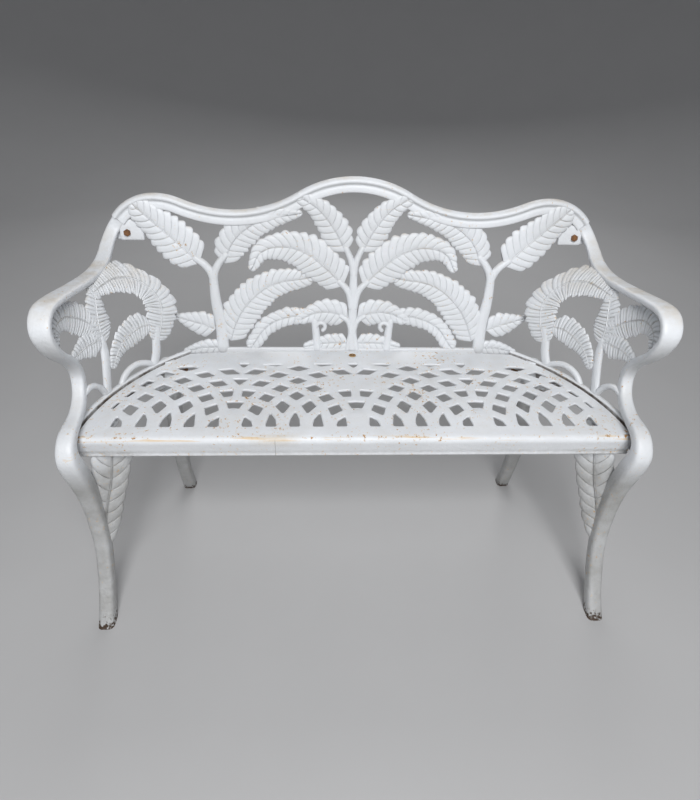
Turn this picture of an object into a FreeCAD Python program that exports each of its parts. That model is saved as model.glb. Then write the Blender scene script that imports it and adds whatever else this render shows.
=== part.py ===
import FreeCAD, Part
import math
import os

# A two-seat garden bench of the traditional fern pattern in cast iron.
# Four castings, the back, the pierced seat and two ends, are held by bolts and one screw.
# Sizes are in mm. X runs along the bench, Y to the rear, Z up from the floor.
# Heights are measured from the seat top, depths from the front line of the lattice.

V = FreeCAD.Vector

# Seat casting
seat_height = 430.0          # floor to seat top
seat_plate = 8.0             # thickness of the pierced plate
seat_nose = 40.0             # front edge, ahead of the lattice front line
seat_rear = 312.0            # rear edge at the middle
seat_rear_bow = 16.0         # how far the rear edge bows out between its corners
seat_side_margin = 23.0      # plain border beside the lattice
seat_rear_margin = 62.0      # plain border behind the lattice
seat_rim_depth = 18.0        # downturned rim along the sides
seat_rim_wall = 8.0
apron_depth = 45.0           # rounded front edge, top to bottom
apron_wall = 10.0
apron_set_back = 5.0         # the apron's foot stands behind its nose
apron_end_gap = 4.0          # apron end to the side line of the seat
nose_run = 11.0              # rounding of the front edge, front to rear
nose_drop = 11.0             # rounding of the front edge, top to bottom

# Arc lattice of the seat
ring_centre_pitch = 250.0    # spacing of the ring centres along the front line
ring_first = 54.0            # smallest ring, at the middle of its strip
ring_pitch = 46.0            # ring to ring
ring_count = 8
ring_strip = 19.5            # width of each strip
ring_spans = 6               # spans between neighbouring centres
smallest_hole = 60.0         # smaller gaps, in square mm, are cast solid
narrowest_hole = 3.4         # and so are narrower slits
neck_share = 0.35            # gaps that meet over a ring centre in a neck under this share of their depth
                             # are parted by a web
hole_bow = 2.0               # a side of a hole that bows more than this has a corner at its middle
same_place = 0.01            # points this near are one point
notch_half = 14.0            # half width of the notches behind the ring centres, at the lattice's rear line
notch_depth = 21.0
notch_count = 3
shield_half = 60.0           # half width of the plain shield at the middle, which has no holes
shield_front = 150.0
shield_rear = 185.0

# Side line of the seat in plan, which the seat rail of each end follows
side_front_x = 541.0
side_front_lead = 20.0       # its front end, ahead of the seat's front edge
side_rear_x = 385.0
side_rear_inset = 7.0        # its rear end, before the seat's rear edge
side_bulge = 44.0            # how far the side line bows out from its chord
side_gap = 3.0               # seat to end casting
seat_rail_width = 12.0
seat_rail_rise = 6.0         # seat rail top, over the seat top
seat_rail_drop = 36.0        # seat rail foot, under the seat top

# End castings
arm_height = 240.0           # arm over the seat top
arm_line_bow = 4.0
arm_end_gap = 0.6            # arm to the end face of the top rail
knee_turn = 30.0             # degrees that the knee leaf is turned in behind the front edge
knee_inset = 10.0            # its root, in from the front end of the side line
knee_set_back = 22.0         # and to the rear of it
arm_end_run = 20.0
arm_end_width = 27.0
arm_end_thickness = 15.0
panel_thickness = 9.0
panel_flare_power = 3        # the panel turns out late, under the arm
panel_top = 0.983            # share of the arm height
panel_bands = 4              # steps that the panel's curve is lofted through, up
panel_columns = 5            # and along
panel_front = -0.05          # ends of the panel along the side line
panel_rear = 1.1
panel_cut_in = 90.0          # the panel's outlines are cut through from here inside its chord
panel_cut_out = 180.0        # to here outside it
rear_leg_inset = 53.0        # rear leg, before the seat's rear edge
arm_steps = 2                # sections from one station of the arm to the next
leg_steps = 1
corner_cut = 0.28            # share of a limb's thickness that its chamfers take

# Fern work
leaflet_pitch = 26.0         # leaflet to leaflet along a frond
leaflet_crown = 0.64         # where a leaflet is widest, from its notch to the next
notch_share = 0.84           # depth of the notches between leaflets
belly_place = 0.35           # where a frond is widest, from its root
tip_power = 1.4              # how late a frond narrows to its tip

# Back casting
back_gap = 4.0               # seat to back
back_lean = 5.0              # degrees from upright
back_thickness = 10.0
stem_thickness = 15.0
base_rail_low = 22.0         # base rail foot, under the seat top
base_rail_high = 3.0
base_rail_thickness = 12.0

# Top rail of the back: its middle line, and the arcs that make the serpentine
dip_height = 305.0
dip_share = 0.62             # place of the dips, from the middle to the corners
crest_rise = 71.0            # crest over the dips
crest_radius = 230.0
corner_rise = 32.0           # corners over the dips
corner_inset = 114.0         # corners, in from the front end of the side line
corner_radius = 100.0
corner_sweep = 52.0          # degrees
rail_half_height = 16.0
rail_half_depth = 13.0
rail_band_half = 8.0         # half depth of the flat band under the bead
rail_crown_half = 6.0        # half depth of the bead's top

# Bolts and their seats
head_flat_count = 6
round_flats = 8              # turned rounds and bores are drawn with this many flats
bolt_diameter = 8.0
hole_clearance = 0.5
thread_clearance = 0.1
thread_tip_gap = 2.0         # bolt end to the bottom of its tapped hole
thread_past_nut = 2.0
head_corners = 15.0          # hexagons, corner to corner
head_height = 5.5
nut_height = 6.5
washer_diameter = 20.0
washer_thickness = 1.6
lug_thickness = 8.0          # tabs, ears and the seat lug
lug_fit = 0.5
arm_bolt_inset = 15.0        # from the end of the top rail, along the bench
arm_bolt_drop = 27.0         # from the end of the top rail, down
arm_lug_half = 17.0
arm_lug_inward = 34.0        # from its bolt towards the middle
tab_reach = 12.0
bore_reach = 52.0            # drilled through the back and the tabs
corner_bolt_inset = 25.0     # from the rear leg, along the bench
corner_lug_half = 19.0
spanner_gap = 1.0            # washer to the seat rail over it
screw_inset = 22.0           # from the rear edge of the seat
screw_head = 17.0
screw_slot_width = 1.8
screw_slot_depth = 1.6
seat_lug_half = 22.0
boss_diameter = 26.0
boss_inset = 26.0            # from the side line of the seat
rim_clearance = 4.0          # ear to the rim over it
front_boss_turn = 0.28       # along the side line, from its front end
rear_boss_turn = 0.70

# Places that follow from these sizes
side_front_y = -seat_nose - side_front_lead
side_rear_y = seat_rear - side_rear_inset
rear_leg_y = seat_rear - rear_leg_inset
back_setback = seat_rear + back_gap + base_rail_thickness / 2
corner_place = side_front_x - corner_inset
dip_place = dip_share * corner_place
crest_height = dip_height + crest_rise
corner_height = dip_height + corner_rise
lug_half = back_thickness / 2
boss_height = seat_rim_depth + rim_clearance - seat_plate
ear_top = seat_height - seat_plate - boss_height
screw_y = seat_rear - screw_inset


def arc(start, middle, end):
    return Part.Arc(start, middle, end).toShape()


def line(start, end):
    return Part.LineSegment(start, end).toShape()


def face_of(edges):
    return Part.Face(Part.Wire(Part.__sortEdges__(edges)))


def block(low, high):
    size = V(*high) - V(*low)
    return Part.makeBox(size.x, size.y, size.z, V(*low))


def smooth_edge(points):
    curve = Part.BSplineCurve()
    curve.interpolate(points)
    return curve.toShape()


def upright(points):
    """Points of an elevation, along and up, on the plane Y = 0."""
    return [V(along, 0, up) for along, up in points]


def sideways(tangent):
    return V(-tangent.z, 0, tangent.x)


def joined(shapes):
    return shapes[0].multiFuse(shapes[1:]).removeSplitter()


def polygon_face(points):
    return Part.Face(Part.makePolygon(points + points[:1]))


def ring_points(flats, diameter, centre, axis):
    turn = FreeCAD.Rotation(V(0, 0, 1), axis)
    points = []
    for step in range(flats):
        angle = (step + 0.5) * 2 * math.pi / flats
        points.append(centre + turn.multVec(V(math.cos(angle), math.sin(angle), 0)) * (diameter / 2))
    return points


def prism(flats, diameter, foot, run):
    """A regular bar from its foot along its run: a hexagon, or a turned round with flats."""
    return polygon_face(ring_points(flats, diameter, foot, run)).extrude(run)


def tapered(low_diameter, high_diameter, foot, run):
    """A turned round that widens from its foot along its run."""
    low = ring_points(round_flats, low_diameter, foot, run)
    high = ring_points(round_flats, high_diameter, foot + run, run)
    faces = [polygon_face(low), polygon_face(high)]
    for step in range(round_flats):
        after = (step + 1) % round_flats
        faces.append(polygon_face([low[step], low[after], high[after], high[step]]))
    return Part.makeSolid(Part.makeShell(faces))


def bore(foot, run, clearance=hole_clearance):
    return prism(round_flats, bolt_diameter + 2 * clearance, foot, run)


# Fern work: fronds and stems as outlines on an elevation

def leaf_half_width(share, root, belly, tip):
    if share < belly_place:
        return root + (belly - root) * math.sin(math.pi / 2 * share / belly_place)
    return belly + (tip - belly) * ((share - belly_place) / (1 - belly_place)) ** tip_power


def edge_point(spine, share, side, width, forward=0.0):
    at = spine.getParameterByLength(min(max(share, 0), 1) * spine.Length)
    tangent = spine.tangentAt(at)
    return spine.valueAt(at) + sideways(tangent) * (side * width) + tangent * forward


def lobed_side(spine, side, lobes, widths):
    """Corners of one toothed edge of a frond: every leaflet rises from its notch to a crown."""
    corners = []
    for lobe in range(lobes):
        notch = lobe / lobes
        crown = (lobe + leaflet_crown) / lobes
        corners.append(edge_point(spine, notch, side, notch_share * leaf_half_width(notch, *widths)))
        corners.append(edge_point(spine, crown, side, leaf_half_width(crown, *widths)))
    corners.append(edge_point(spine, 1, side, notch_share * widths[-1]))
    return corners


def frond(points, root, belly, tip):
    spine = smooth_edge(upright(points))
    lobes = round(spine.Length / leaflet_pitch)
    left = lobed_side(spine, 1, lobes, (root, belly, tip))
    right = lobed_side(spine, -1, lobes, (root, belly, tip))
    point = edge_point(spine, 1, 0, 0, forward=tip)
    return polygon_face(left + [point] + right[::-1])


def stem(points, root_half, tip_half):
    spine = smooth_edge(upright(points))
    steps = 2 * len(points) - 1
    sides = []
    for side in (1, -1):
        row = []
        for step in range(steps):
            share = step / (steps - 1)
            row.append(edge_point(spine, share, side, root_half + (tip_half - root_half) * share))
        sides.append(row)
    return polygon_face(sides[0] + sides[1][::-1])


def mirrored_points(points):
    return [(-along, up) for along, up in points]


# Plan of the seat's side line: a circle through its two ends with the given bulge

chord = V(side_rear_x - side_front_x, side_rear_y - side_front_y, 0)
chord_angle = math.atan2(-chord.x, chord.y)
side_radius = (chord.Length ** 2 / 4 + side_bulge ** 2) / (2 * side_bulge)
chord_middle = V(-(side_front_x + side_rear_x) / 2, (side_front_y + side_rear_y) / 2, 0)
chord_outward = V(-math.cos(chord_angle), math.sin(chord_angle), 0)
side_centre = chord_middle - chord_outward * (side_radius - side_bulge)
side_half_turn = math.asin(chord.Length / 2 / side_radius)
seat_side_radius = side_radius - seat_rail_width / 2 - side_gap


def side_point(radius, share):
    """Left side line in plan, from its front end, share 0, to its rear end, share 1."""
    turn = (2 * share - 1) * side_half_turn
    along = V(math.sin(chord_angle), math.cos(chord_angle), 0)
    return side_centre + chord_outward * (radius * math.cos(turn)) + along * (radius * math.sin(turn))


def side_x_at(radius, depth):
    return side_centre.x - math.sqrt(radius ** 2 - (depth - side_centre.y) ** 2)


# Seat casting

def seat_outline(inset, front, rear_shift):
    radius = seat_side_radius - inset
    corner_y = seat_rear - seat_rear_bow - rear_shift
    middle_y = (corner_y + front) / 2
    front_x = side_x_at(radius, front)
    middle_x = side_x_at(radius, middle_y)
    corner_x = side_x_at(radius, corner_y)
    front_left = V(front_x, front, 0)
    rear_left = V(corner_x, corner_y, 0)
    front_right = V(-front_x, front, 0)
    rear_right = V(-corner_x, corner_y, 0)
    return face_of([
        line(front_left, front_right),
        arc(front_right, V(-middle_x, middle_y, 0), rear_right),
        arc(rear_right, V(0, seat_rear - rear_shift, 0), rear_left),
        arc(rear_left, V(middle_x, middle_y, 0), front_left)])


def gap_between_rings(centre_x, step):
    """Open band between two neighbouring rings of one centre, or inside the first ring."""
    outer = Part.makeCircle(ring_first + step * ring_pitch - ring_strip / 2, V(centre_x, 0, 0))
    disc = Part.Face(Part.Wire(outer))
    if step == 0:
        return disc
    inner = Part.makeCircle(ring_first + (step - 1) * ring_pitch + ring_strip / 2, V(centre_x, 0, 0))
    return disc.cut(Part.Face(Part.Wire(inner)))


def straight_sided(hole):
    """The pattern maker's hole: straight sides, and one more corner where a side bows."""
    corners = []
    for edge, start in zip(hole.OuterWire.OrderedEdges, hole.OuterWire.OrderedVertexes):
        first, middle, last = edge.discretize(3)
        corners.append(start.Point)
        if (middle - (first + last) / 2).Length > hole_bow:
            corners.append(middle)
    return polygon_face(corners)


def parted(cell, border_x):
    """A gap that would only just meet its neighbour over a ring centre is cut back to leave a web."""
    contact = 0
    for edge in cell.Edges:
        if max(abs(vertex.X - border_x) for vertex in edge.Vertexes) < same_place:
            contact += edge.Length
    if contact == 0 or contact > neck_share * cell.BoundBox.YLength:
        return [cell]
    web = Part.makePlane(ring_strip, seat_rear, V(border_x - ring_strip / 2, 0, 0))
    return cell.cut(web).Faces


def on_shield(place):
    return abs(place.x) < shield_half and shield_front < place.y < shield_rear


def rear_notch(centre_x):
    """The three-cornered hole behind a ring centre, its flat side on the lattice's rear line."""
    rear = seat_rear - seat_rear_margin
    return polygon_face([V(centre_x, rear - notch_depth, 0), V(centre_x + notch_half, rear, 0),
                         V(centre_x - notch_half, rear, 0)])


def lattice_holes():
    window = seat_outline(seat_side_margin, 0, seat_rear_margin)
    span = Part.makePlane(ring_centre_pitch, seat_rear, V(0, 0, 0))
    left_gaps = [gap_between_rings(0, step).common(span) for step in range(ring_count)]
    right_gaps = [gap_between_rings(ring_centre_pitch, step).common(span) for step in range(ring_count)]
    cells = []
    for left_gap in left_gaps:
        for right_gap in right_gaps:
            for cell in left_gap.common(right_gap).Faces:
                for piece in parted(cell, 0):
                    cells += parted(piece, ring_centre_pitch)
    holes = []
    for step in range(ring_spans):
        shift = V((step - ring_spans / 2) * ring_centre_pitch, 0, 0)
        holes += [cell.translated(shift) for cell in cells]
    pattern = joined(holes).common(window).removeSplitter()
    wide = [hole for hole in pattern.Faces if 2 * hole.Area > narrowest_hole * hole.Length]
    kept = [hole for hole in wide if hole.Area > smallest_hole and not on_shield(hole.CenterOfMass)]
    notches = [rear_notch((step - (notch_count - 1) / 2) * ring_centre_pitch) for step in range(notch_count)]
    return [straight_sided(hole) for hole in kept] + notches


def apron():
    """The rounded front edge, drawn across its section and run along the front."""
    top = seat_height
    bottom = top - apron_depth
    nose = -seat_nose
    foot = nose + apron_set_back
    back_line = nose + seat_rim_wall + apron_wall
    quarter = 1 - math.sqrt(0.5)
    nose_top = V(0, nose + nose_run, top)
    nose_middle = V(0, nose + nose_run * quarter, top - nose_drop * quarter)
    nose_foot = V(0, nose, top - nose_drop)
    corners = [nose_foot, V(0, foot, bottom), V(0, foot + apron_wall, bottom),
               V(0, back_line, top - seat_plate), V(0, back_line, top), nose_top]
    edges = [line(start, end) for start, end in zip(corners, corners[1:])]
    edges.append(arc(nose_top, nose_middle, nose_foot))
    half = -side_x_at(seat_side_radius, nose) - apron_end_gap
    return face_of(edges).translated(V(-half, 0, 0)).extrude(V(2 * half, 0, 0))


def boss_places():
    return [side_point(seat_side_radius - boss_inset, share) for share in (front_boss_turn, rear_boss_turn)]


def both_bosses():
    return [V(side * place.x, place.y, ear_top) for place in boss_places() for side in (1, -1)]


def countersink(clearance):
    """The screw's tapered head, from under the plate's top to just flush with it."""
    depth = (screw_head - bolt_diameter) / 2
    foot = V(0, screw_y, seat_height - depth)
    return tapered(bolt_diameter + 2 * clearance, screw_head + 2 * clearance, foot, V(0, 0, depth))


def seat_casting():
    front = -seat_nose + seat_rim_wall + apron_wall / 2
    outline = seat_outline(0, front, 0)
    plate = outline.cut(lattice_holes()).extrude(V(0, 0, -seat_plate))
    rim_inner = seat_outline(seat_rim_wall, front - seat_rim_wall, -2 * seat_rim_wall)
    rim = outline.cut(rim_inner).extrude(V(0, 0, -seat_rim_depth))
    lifted = [solid.translated(V(0, 0, seat_height)) for solid in (plate, rim)]
    bosses = [prism(round_flats, boss_diameter, foot, V(0, 0, boss_height)) for foot in both_bosses()]
    body = joined(lifted + bosses + [apron()])
    holes = [bore(foot, V(0, 0, boss_height), thread_clearance) for foot in both_bosses()]
    holes.append(bore(V(0, screw_y, seat_height - seat_plate), V(0, 0, seat_plate)))
    holes.append(countersink(hole_clearance))
    return body.cut(holes)


# Back casting, drawn upright about the seat top and then leaned

lean = FreeCAD.Placement(V(0, back_setback, seat_height), FreeCAD.Rotation(V(1, 0, 0), -back_lean))

# Spines of the fronds, along and up as shares of the corners' place and the dips' height,
# and half widths at the root, the belly and the tip
back_fronds = [
    ([(-0.803, 0.672), (-0.895, 0.803), (-0.981, 0.925), (-1.059, 1.030)], 30, 48, 30),
    ([(-0.674, 0.672), (-0.637, 0.803), (-0.567, 0.911), (-0.461, 0.987), (-0.286, 1.036)], 26, 38, 7),
    ([(-0.028, 0.780), (-0.105, 0.951), (-0.187, 1.075), (-0.262, 1.138)], 24, 38, 16),
    ([(-0.033, 0.492), (-0.141, 0.636), (-0.258, 0.761), (-0.386, 0.800),
      (-0.487, 0.754), (-0.529, 0.656)], 44, 45, 12),
    ([(-0.679, 0.066), (-0.628, 0.249), (-0.543, 0.407), (-0.429, 0.518), (-0.262, 0.564)], 28, 44, 22),
    ([(-0.009, 0.275), (-0.105, 0.302), (-0.199, 0.302), (-0.276, 0.256)], 30, 33, 16),
    ([(-0.234, 0.282), (-0.370, 0.259), (-0.473, 0.187), (-0.550, 0.046)], 16, 24, 20),
    ([(-0.754, 0.164), (-0.824, 0.203), (-0.899, 0.236), (-0.956, 0.262)], 24, 32, 8),
    ([(-0.731, 0.013), (-0.824, 0.013), (-0.927, -0.020)], 18, 20, 8),
    ([(-0.019, 0.052), (-0.141, 0.052), (-0.253, 0.026)], 28, 24, 10)]

# Stems in the same way, with half widths at the foot and the top
back_stems = [
    ([(-0.726, -0.039), (-0.724, 0.197), (-0.740, 0.393), (-0.742, 0.656)], 16, 10),
    ([(-0.738, 0.492), (-0.749, 0.590), (-0.778, 0.656), (-0.824, 0.708)], 10, 8),
    ([(-0.740, 0.492), (-0.735, 0.590), (-0.712, 0.662), (-0.670, 0.734)], 10, 8),
    ([(-0.005, 0.551), (-0.014, 0.689), (-0.037, 0.807)], 9, 7),
    ([(-0.206, 0.256), (-0.211, 0.157), (-0.201, -0.039)], 10, 8)]

main_stem = ([(0.000, -0.039), (0.000, 0.295), (0.000, 0.597)], 19, 11)

# The end of the top rail, its direction towards the middle, and the bolts that follow from it
sweep = math.radians(corner_sweep)
corner_centre = V(-corner_place, 0, corner_height - corner_radius)
rail_end = corner_centre + V(-math.sin(sweep), 0, math.cos(sweep)) * corner_radius
rail_inward = V(math.cos(sweep), 0, math.sin(sweep))
rail_end_foot = rail_end.z - rail_half_height * math.cos(sweep)
rear_leg_x = -side_x_at(side_radius, rear_leg_y)
arm_bolt_x = -rail_end.x - arm_bolt_inset
arm_bolt_height = rail_end.z - arm_bolt_drop
corner_bolt_x = rear_leg_x - corner_bolt_inset
corner_bolt_height = -seat_rail_drop - spanner_gap - washer_diameter / 2


def rail_path():
    """Middle line of the top rail: tangent arcs for the crest, the dips and the corners."""
    crest_drop = crest_height - dip_height
    crest_sum = (dip_place ** 2 + crest_drop ** 2) / (2 * crest_drop)
    dip_radius = crest_sum - crest_radius
    corner_drop = corner_height - dip_height
    corner_run = corner_place - dip_place
    corner_sum = (corner_run ** 2 + corner_drop ** 2) / (2 * corner_drop)
    shoulder_radius = corner_sum - dip_radius
    crest_turn = math.asin(dip_place / crest_sum)
    shoulder_turn = math.asin(corner_run / corner_sum)
    crest_centre = V(0, 0, crest_height - crest_radius)
    dip_centre = V(-dip_place, 0, dip_height + dip_radius)
    shoulder_centre = V(-corner_place, 0, corner_height - shoulder_radius)

    def on(centre, radius, turn, up=1):
        return centre + V(math.sin(turn), 0, up * math.cos(turn)) * radius

    left = [
        arc(on(corner_centre, corner_radius, -sweep), on(corner_centre, corner_radius, -sweep / 2),
            on(corner_centre, corner_radius, 0)),
        arc(on(shoulder_centre, shoulder_radius, 0), on(shoulder_centre, shoulder_radius, shoulder_turn / 2),
            on(shoulder_centre, shoulder_radius, shoulder_turn)),
        arc(on(dip_centre, dip_radius, -shoulder_turn, -1), on(dip_centre, dip_radius, 0, -1),
            on(dip_centre, dip_radius, crest_turn, -1)),
        arc(on(crest_centre, crest_radius, -crest_turn), on(crest_centre, crest_radius, -crest_turn / 2),
            on(crest_centre, crest_radius, 0))]
    right = [edge.mirror(V(0, 0, 0), V(1, 0, 0)) for edge in left]
    return Part.Wire(Part.__sortEdges__(left + right))


def top_rail():
    """A bead over a flat band, swept along the serpentine."""
    up = sideways(rail_inward)
    half = rail_half_height
    profile = [(-rail_band_half, -half), (-rail_band_half, 0)]
    profile += [(-rail_half_depth, half / 3), (-rail_crown_half, half)]
    profile = profile + [(-depth, height) for depth, height in reversed(profile)]
    corners = [rail_end + V(0, depth, 0) + up * height for depth, height in profile]
    section = Part.makePolygon(corners + corners[:1])
    return rail_path().makePipeShell([section], True, False)


def on_back(points):
    """Points of the back's tables: shares of the corners' place along and of the dips' height up."""
    return [(along * corner_place, up * dip_height) for along, up in points]


def both_sides(table, build):
    shapes = []
    for points, *sizes in table:
        shapes.append(build(on_back(points), *sizes))
        shapes.append(build(mirrored_points(on_back(points)), *sizes))
    return shapes


def raised(faces, front, rear):
    """Outlines of an elevation made solid, from the front depth to the rear depth."""
    solids = []
    for face in joined(faces).Faces:
        solids.append(face.translated(V(0, -front, 0)).extrude(V(0, front + rear, 0)))
    return solids


def arm_lug(side, front=lug_half, fit=0.0):
    """Lug at each top corner of the back, reaching up into the end of the rail, or the room for it."""
    ends = sorted((side * (arm_bolt_x - arm_lug_inward - fit), side * (arm_bolt_x + arm_lug_half + fit)))
    return block((ends[0], -front, arm_bolt_height - arm_lug_half - fit),
                 (ends[1], lug_half, rail_end.z + fit))


def corner_lug(side):
    """Lug under each end of the base rail, reaching up into it."""
    place_x = side * corner_bolt_x
    return block((place_x - corner_lug_half, -lug_half, corner_bolt_height - corner_lug_half),
                 (place_x + corner_lug_half, lug_half, base_rail_high))


def bolt_places():
    """The four bolts of the back, as drawn upright: arm bolts, then corner bolts."""
    places = []
    for place_x, height in ((arm_bolt_x, arm_bolt_height), (corner_bolt_x, corner_bolt_height)):
        places += [V(-place_x, 0, height), V(place_x, 0, height)]
    return places


def back_bores():
    run = V(0, bore_reach, 0)
    return [bore(place - run / 2, run) for place in bolt_places()]


def seat_lug():
    """Lug of the back under the seat's rear edge, with the bore for the screw."""
    top = seat_height - seat_plate
    lug = block((-seat_lug_half, screw_y - seat_lug_half, top - lug_thickness),
                (seat_lug_half, back_setback, top))
    return lug, bore(V(0, screw_y, top - lug_thickness), V(0, 0, lug_thickness))


def back_casting():
    leaf_half = back_thickness / 2
    stem_half = stem_thickness / 2
    base_half = base_rail_thickness / 2
    leaves = raised(both_sides(back_fronds, frond), leaf_half, leaf_half)
    points, *sizes = main_stem
    stem_faces = both_sides(back_stems, stem) + [stem(on_back(points), *sizes)]
    stems = raised(stem_faces, stem_half, stem_half)
    frame = [block((-corner_bolt_x, -base_half, -base_rail_low), (corner_bolt_x, base_half, base_rail_high)),
             top_rail()]
    for side in (-1, 1):
        frame += [arm_lug(side), corner_lug(side)]
    body = leaves[0].multiFuse(leaves[1:] + stems).multiFuse(frame).removeSplitter()
    body = body.cut(back_bores()).transformed(lean.toMatrix())
    lug, screw_bore = seat_lug()
    return body.fuse(lug).cut(screw_bore)


# End castings: the left one is drawn, the right one is its mirror image

side_frame = FreeCAD.Placement(V(-side_front_x, side_front_y, seat_height),
                               FreeCAD.Rotation(V(0, 0, 1), 90 - math.degrees(chord_angle)))

# Stations of the legs: out and back from the leg's place, share of the seat height down, width, thickness
front_leg = [
    (-11, -74, 1.06, 38, 38),
    (-10, -50, 0.98, 33, 34),
    (-9, -16, 0.85, 31, 31),
    (-9, 15, 0.66, 31, 32),
    (-10, 22, 0.45, 34, 34),
    (-11, 6, 0.22, 37, 38),
    (-11, -16, 0.05, 38, 38),
    (-10, -18, -0.03, 34, 30)]

rear_leg = [
    (-1, 7, 0.0, 30, 34),
    (-1, 0, 0.14, 36, 40),
    (1, -2, 0.35, 36, 40),
    (6, 13, 0.66, 33, 36),
    (10, 41, 0.87, 31, 31),
    (13, 75, 1.06, 34, 33)]

# Stations of the arm: out and back from the seat's front corner, share of the arm height, width, thickness
arm_scroll = [
    (-11, -24, 0.017, 35, 30),
    (-9, 2, 0.062, 31, 26),
    (-6, 40, 0.079, 27, 22),
    (-3, 79, 0.108, 25, 23),
    (0, 110, 0.188, 25, 23),
    (1, 122, 0.317, 25, 21),
    (-1, 106, 0.471, 26, 18),
    (-3, 65, 0.625, 30, 16),
    (-5, 36, 0.767, 34, 15),
    (-4, 29, 0.896, 37, 15),
    (-4, 46, 0.994, 38, 15),
    (-4, 84, 1.014, 38, 15),
    (-3, 140, 0.983, 36, 15)]

# The rest of the arm, its depths from the back
arm_rear = [
    (-4, -148, 0.933, 34, 15),
    (-6, -82, 0.925, 32, 15),
    (-8, -32, 0.971, 30, 15),
    (-10, 2, 1.054, 28, 15)]

# Fern work of the ends: along from the front end of the side line, and up as a share of the arm height
panel_fronds = [
    ([(322, 0.233), (346, 0.408), (359, 0.604), (341, 0.767), (300, 0.842),
      (255, 0.854), (215, 0.850)], 26, 38, 12),
    ([(318, 0.412), (285, 0.429), (250, 0.396), (221, 0.329), (204, 0.250)], 22, 32, 14),
    ([(190, 0.450), (190, 0.583), (200, 0.717), (218, 0.850)], 20, 37, 16),
    ([(188, 0.562), (166, 0.683), (132, 0.792), (98, 0.842), (71, 0.800), (63, 0.708)], 17, 31, 15),
    ([(188, 0.500), (150, 0.521), (118, 0.525), (88, 0.492)], 20, 29, 15)]

panel_stems = [
    ([(303, -0.017), (318, 0.125), (324, 0.292)], 11, 9),
    ([(168, -0.017), (180, 0.188), (189, 0.375), (189, 0.542)], 11, 8),
    ([(168, 0.008), (148, 0.133), (126, 0.183), (98, 0.167)], 7, 6),
    ([(208, -0.017), (228, 0.071), (258, 0.104), (285, 0.075), (306, 0.017)], 7, 7)]

# The leaf that braces the front leg: along from its root, and up as a share of the seat height
knee_frond = ([(8, -0.640), (20, -0.500), (33, -0.384), (46, -0.291), (55, -0.186)], 8, 26, 34)


def limb_section(centre, tangent, width, thickness):
    """A chamfered bar section across a limb, its width kept level."""
    across = V(1, 0, 0) - tangent * tangent.x
    across.normalize()
    depth = tangent.cross(across)
    cut = corner_cut * min(width, thickness)
    half_width = width / 2
    half_depth = thickness / 2
    corners = [(half_width, half_depth - cut), (half_width - cut, half_depth),
               (cut - half_width, half_depth), (-half_width, half_depth - cut)]
    corners = corners + [(-side, -up) for side, up in corners]
    points = [centre + across * side + depth * up for side, up in corners]
    return Part.makePolygon(points + points[:1])


def limb(stations, steps):
    """A cast limb of changing section along a smooth line through its stations."""
    line_of_limb = Part.BSplineCurve()
    line_of_limb.interpolate([centre for centre, width, thickness in stations])
    places = [line_of_limb.parameter(centre) for centre, width, thickness in stations]
    sections = []
    for step in range((len(stations) - 1) * steps + 1):
        low = min(step // steps, len(stations) - 2)
        share = step / steps - low
        place = places[low] + (places[low + 1] - places[low]) * share
        below, above = stations[low], stations[low + 1]
        width, thickness = [below[size] * (1 - share) + above[size] * share for size in (1, 2)]
        tangent = line_of_limb.tangent(place)[0]
        sections.append(limb_section(line_of_limb.value(place), tangent, width, thickness))
    return Part.makeLoft(sections, True, True)


def leg_stations(table, leg_x, leg_y):
    return [(V(-leg_x - out, leg_y + back, seat_height * (1 - share)), width, thickness)
            for out, back, share, width, thickness in table]


def arm_stations():
    """The scroll and the arm, led to the end face of the top rail."""
    stations = []
    for table, start_y in ((arm_scroll, side_front_y), (arm_rear, back_setback)):
        for out, back, share, width, thickness in table:
            centre = V(-side_front_x - out, start_y + back, seat_height + share * arm_height)
            stations.append((centre, width, thickness))
    for short_of_rail in (arm_end_run, 0):
        centre = lean.multVec(rail_end - rail_inward * short_of_rail)
        stations.append((centre, arm_end_width, arm_end_thickness))
    return stations


def panel_line(rise, offset):
    """One line of the fern panel in plan: the seat's side line below, the arm line above."""
    share = rise ** panel_flare_power
    points = []
    for column in range(panel_columns + 1):
        along = panel_front + (panel_rear - panel_front) * column / panel_columns
        low = side_point(side_radius, along)
        bow = 4 * arm_line_bow * along * (1 - along)
        high = V(-side_front_x - bow, side_front_y + along * (side_rear_y - side_front_y), 0)
        lift = V(0, 0, seat_height + rise * arm_height)
        points.append(low * (1 - share) + high * share + chord_outward * offset + lift)
    return points


def flat_pair(low, high, column):
    """One cell between two lines of the panel, as two flat triangles."""
    return [polygon_face([low[column], low[column + 1], high[column]]),
            polygon_face([high[column], low[column + 1], high[column + 1]])]


def panel_slab(half):
    """The panel's curved slab, whose two faces are skins of flat triangles."""
    rises = [panel_top * band / panel_bands for band in range(panel_bands + 1)]
    inner = [panel_line(rise, -half) for rise in rises]
    outer = [panel_line(rise, half) for rise in rises]
    faces = [polygon_face(inner[band] + outer[band][::-1]) for band in (0, -1)]
    for band in range(panel_bands):
        for lines in (inner, outer):
            for column in range(panel_columns):
                faces += flat_pair(lines[band], lines[band + 1], column)
        for end in (0, -1):
            faces.append(polygon_face([inner[band][end], inner[band + 1][end],
                                       outer[band + 1][end], outer[band][end]]))
    return Part.makeSolid(Part.makeShell(faces))


def knee_leaf():
    """The leaf on the front leg, turned in behind the seat's front edge."""
    points, *sizes = knee_frond
    outline = frond([(along, up * seat_height) for along, up in points], *sizes)
    root = V(-side_front_x + knee_inset, side_front_y + knee_set_back, seat_height)
    turned = FreeCAD.Placement(root, FreeCAD.Rotation(V(0, 0, 1), knee_turn))
    leaf = raised([outline], panel_thickness / 2, panel_thickness / 2)
    return [solid.transformed(turned.toMatrix()) for solid in leaf]


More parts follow.
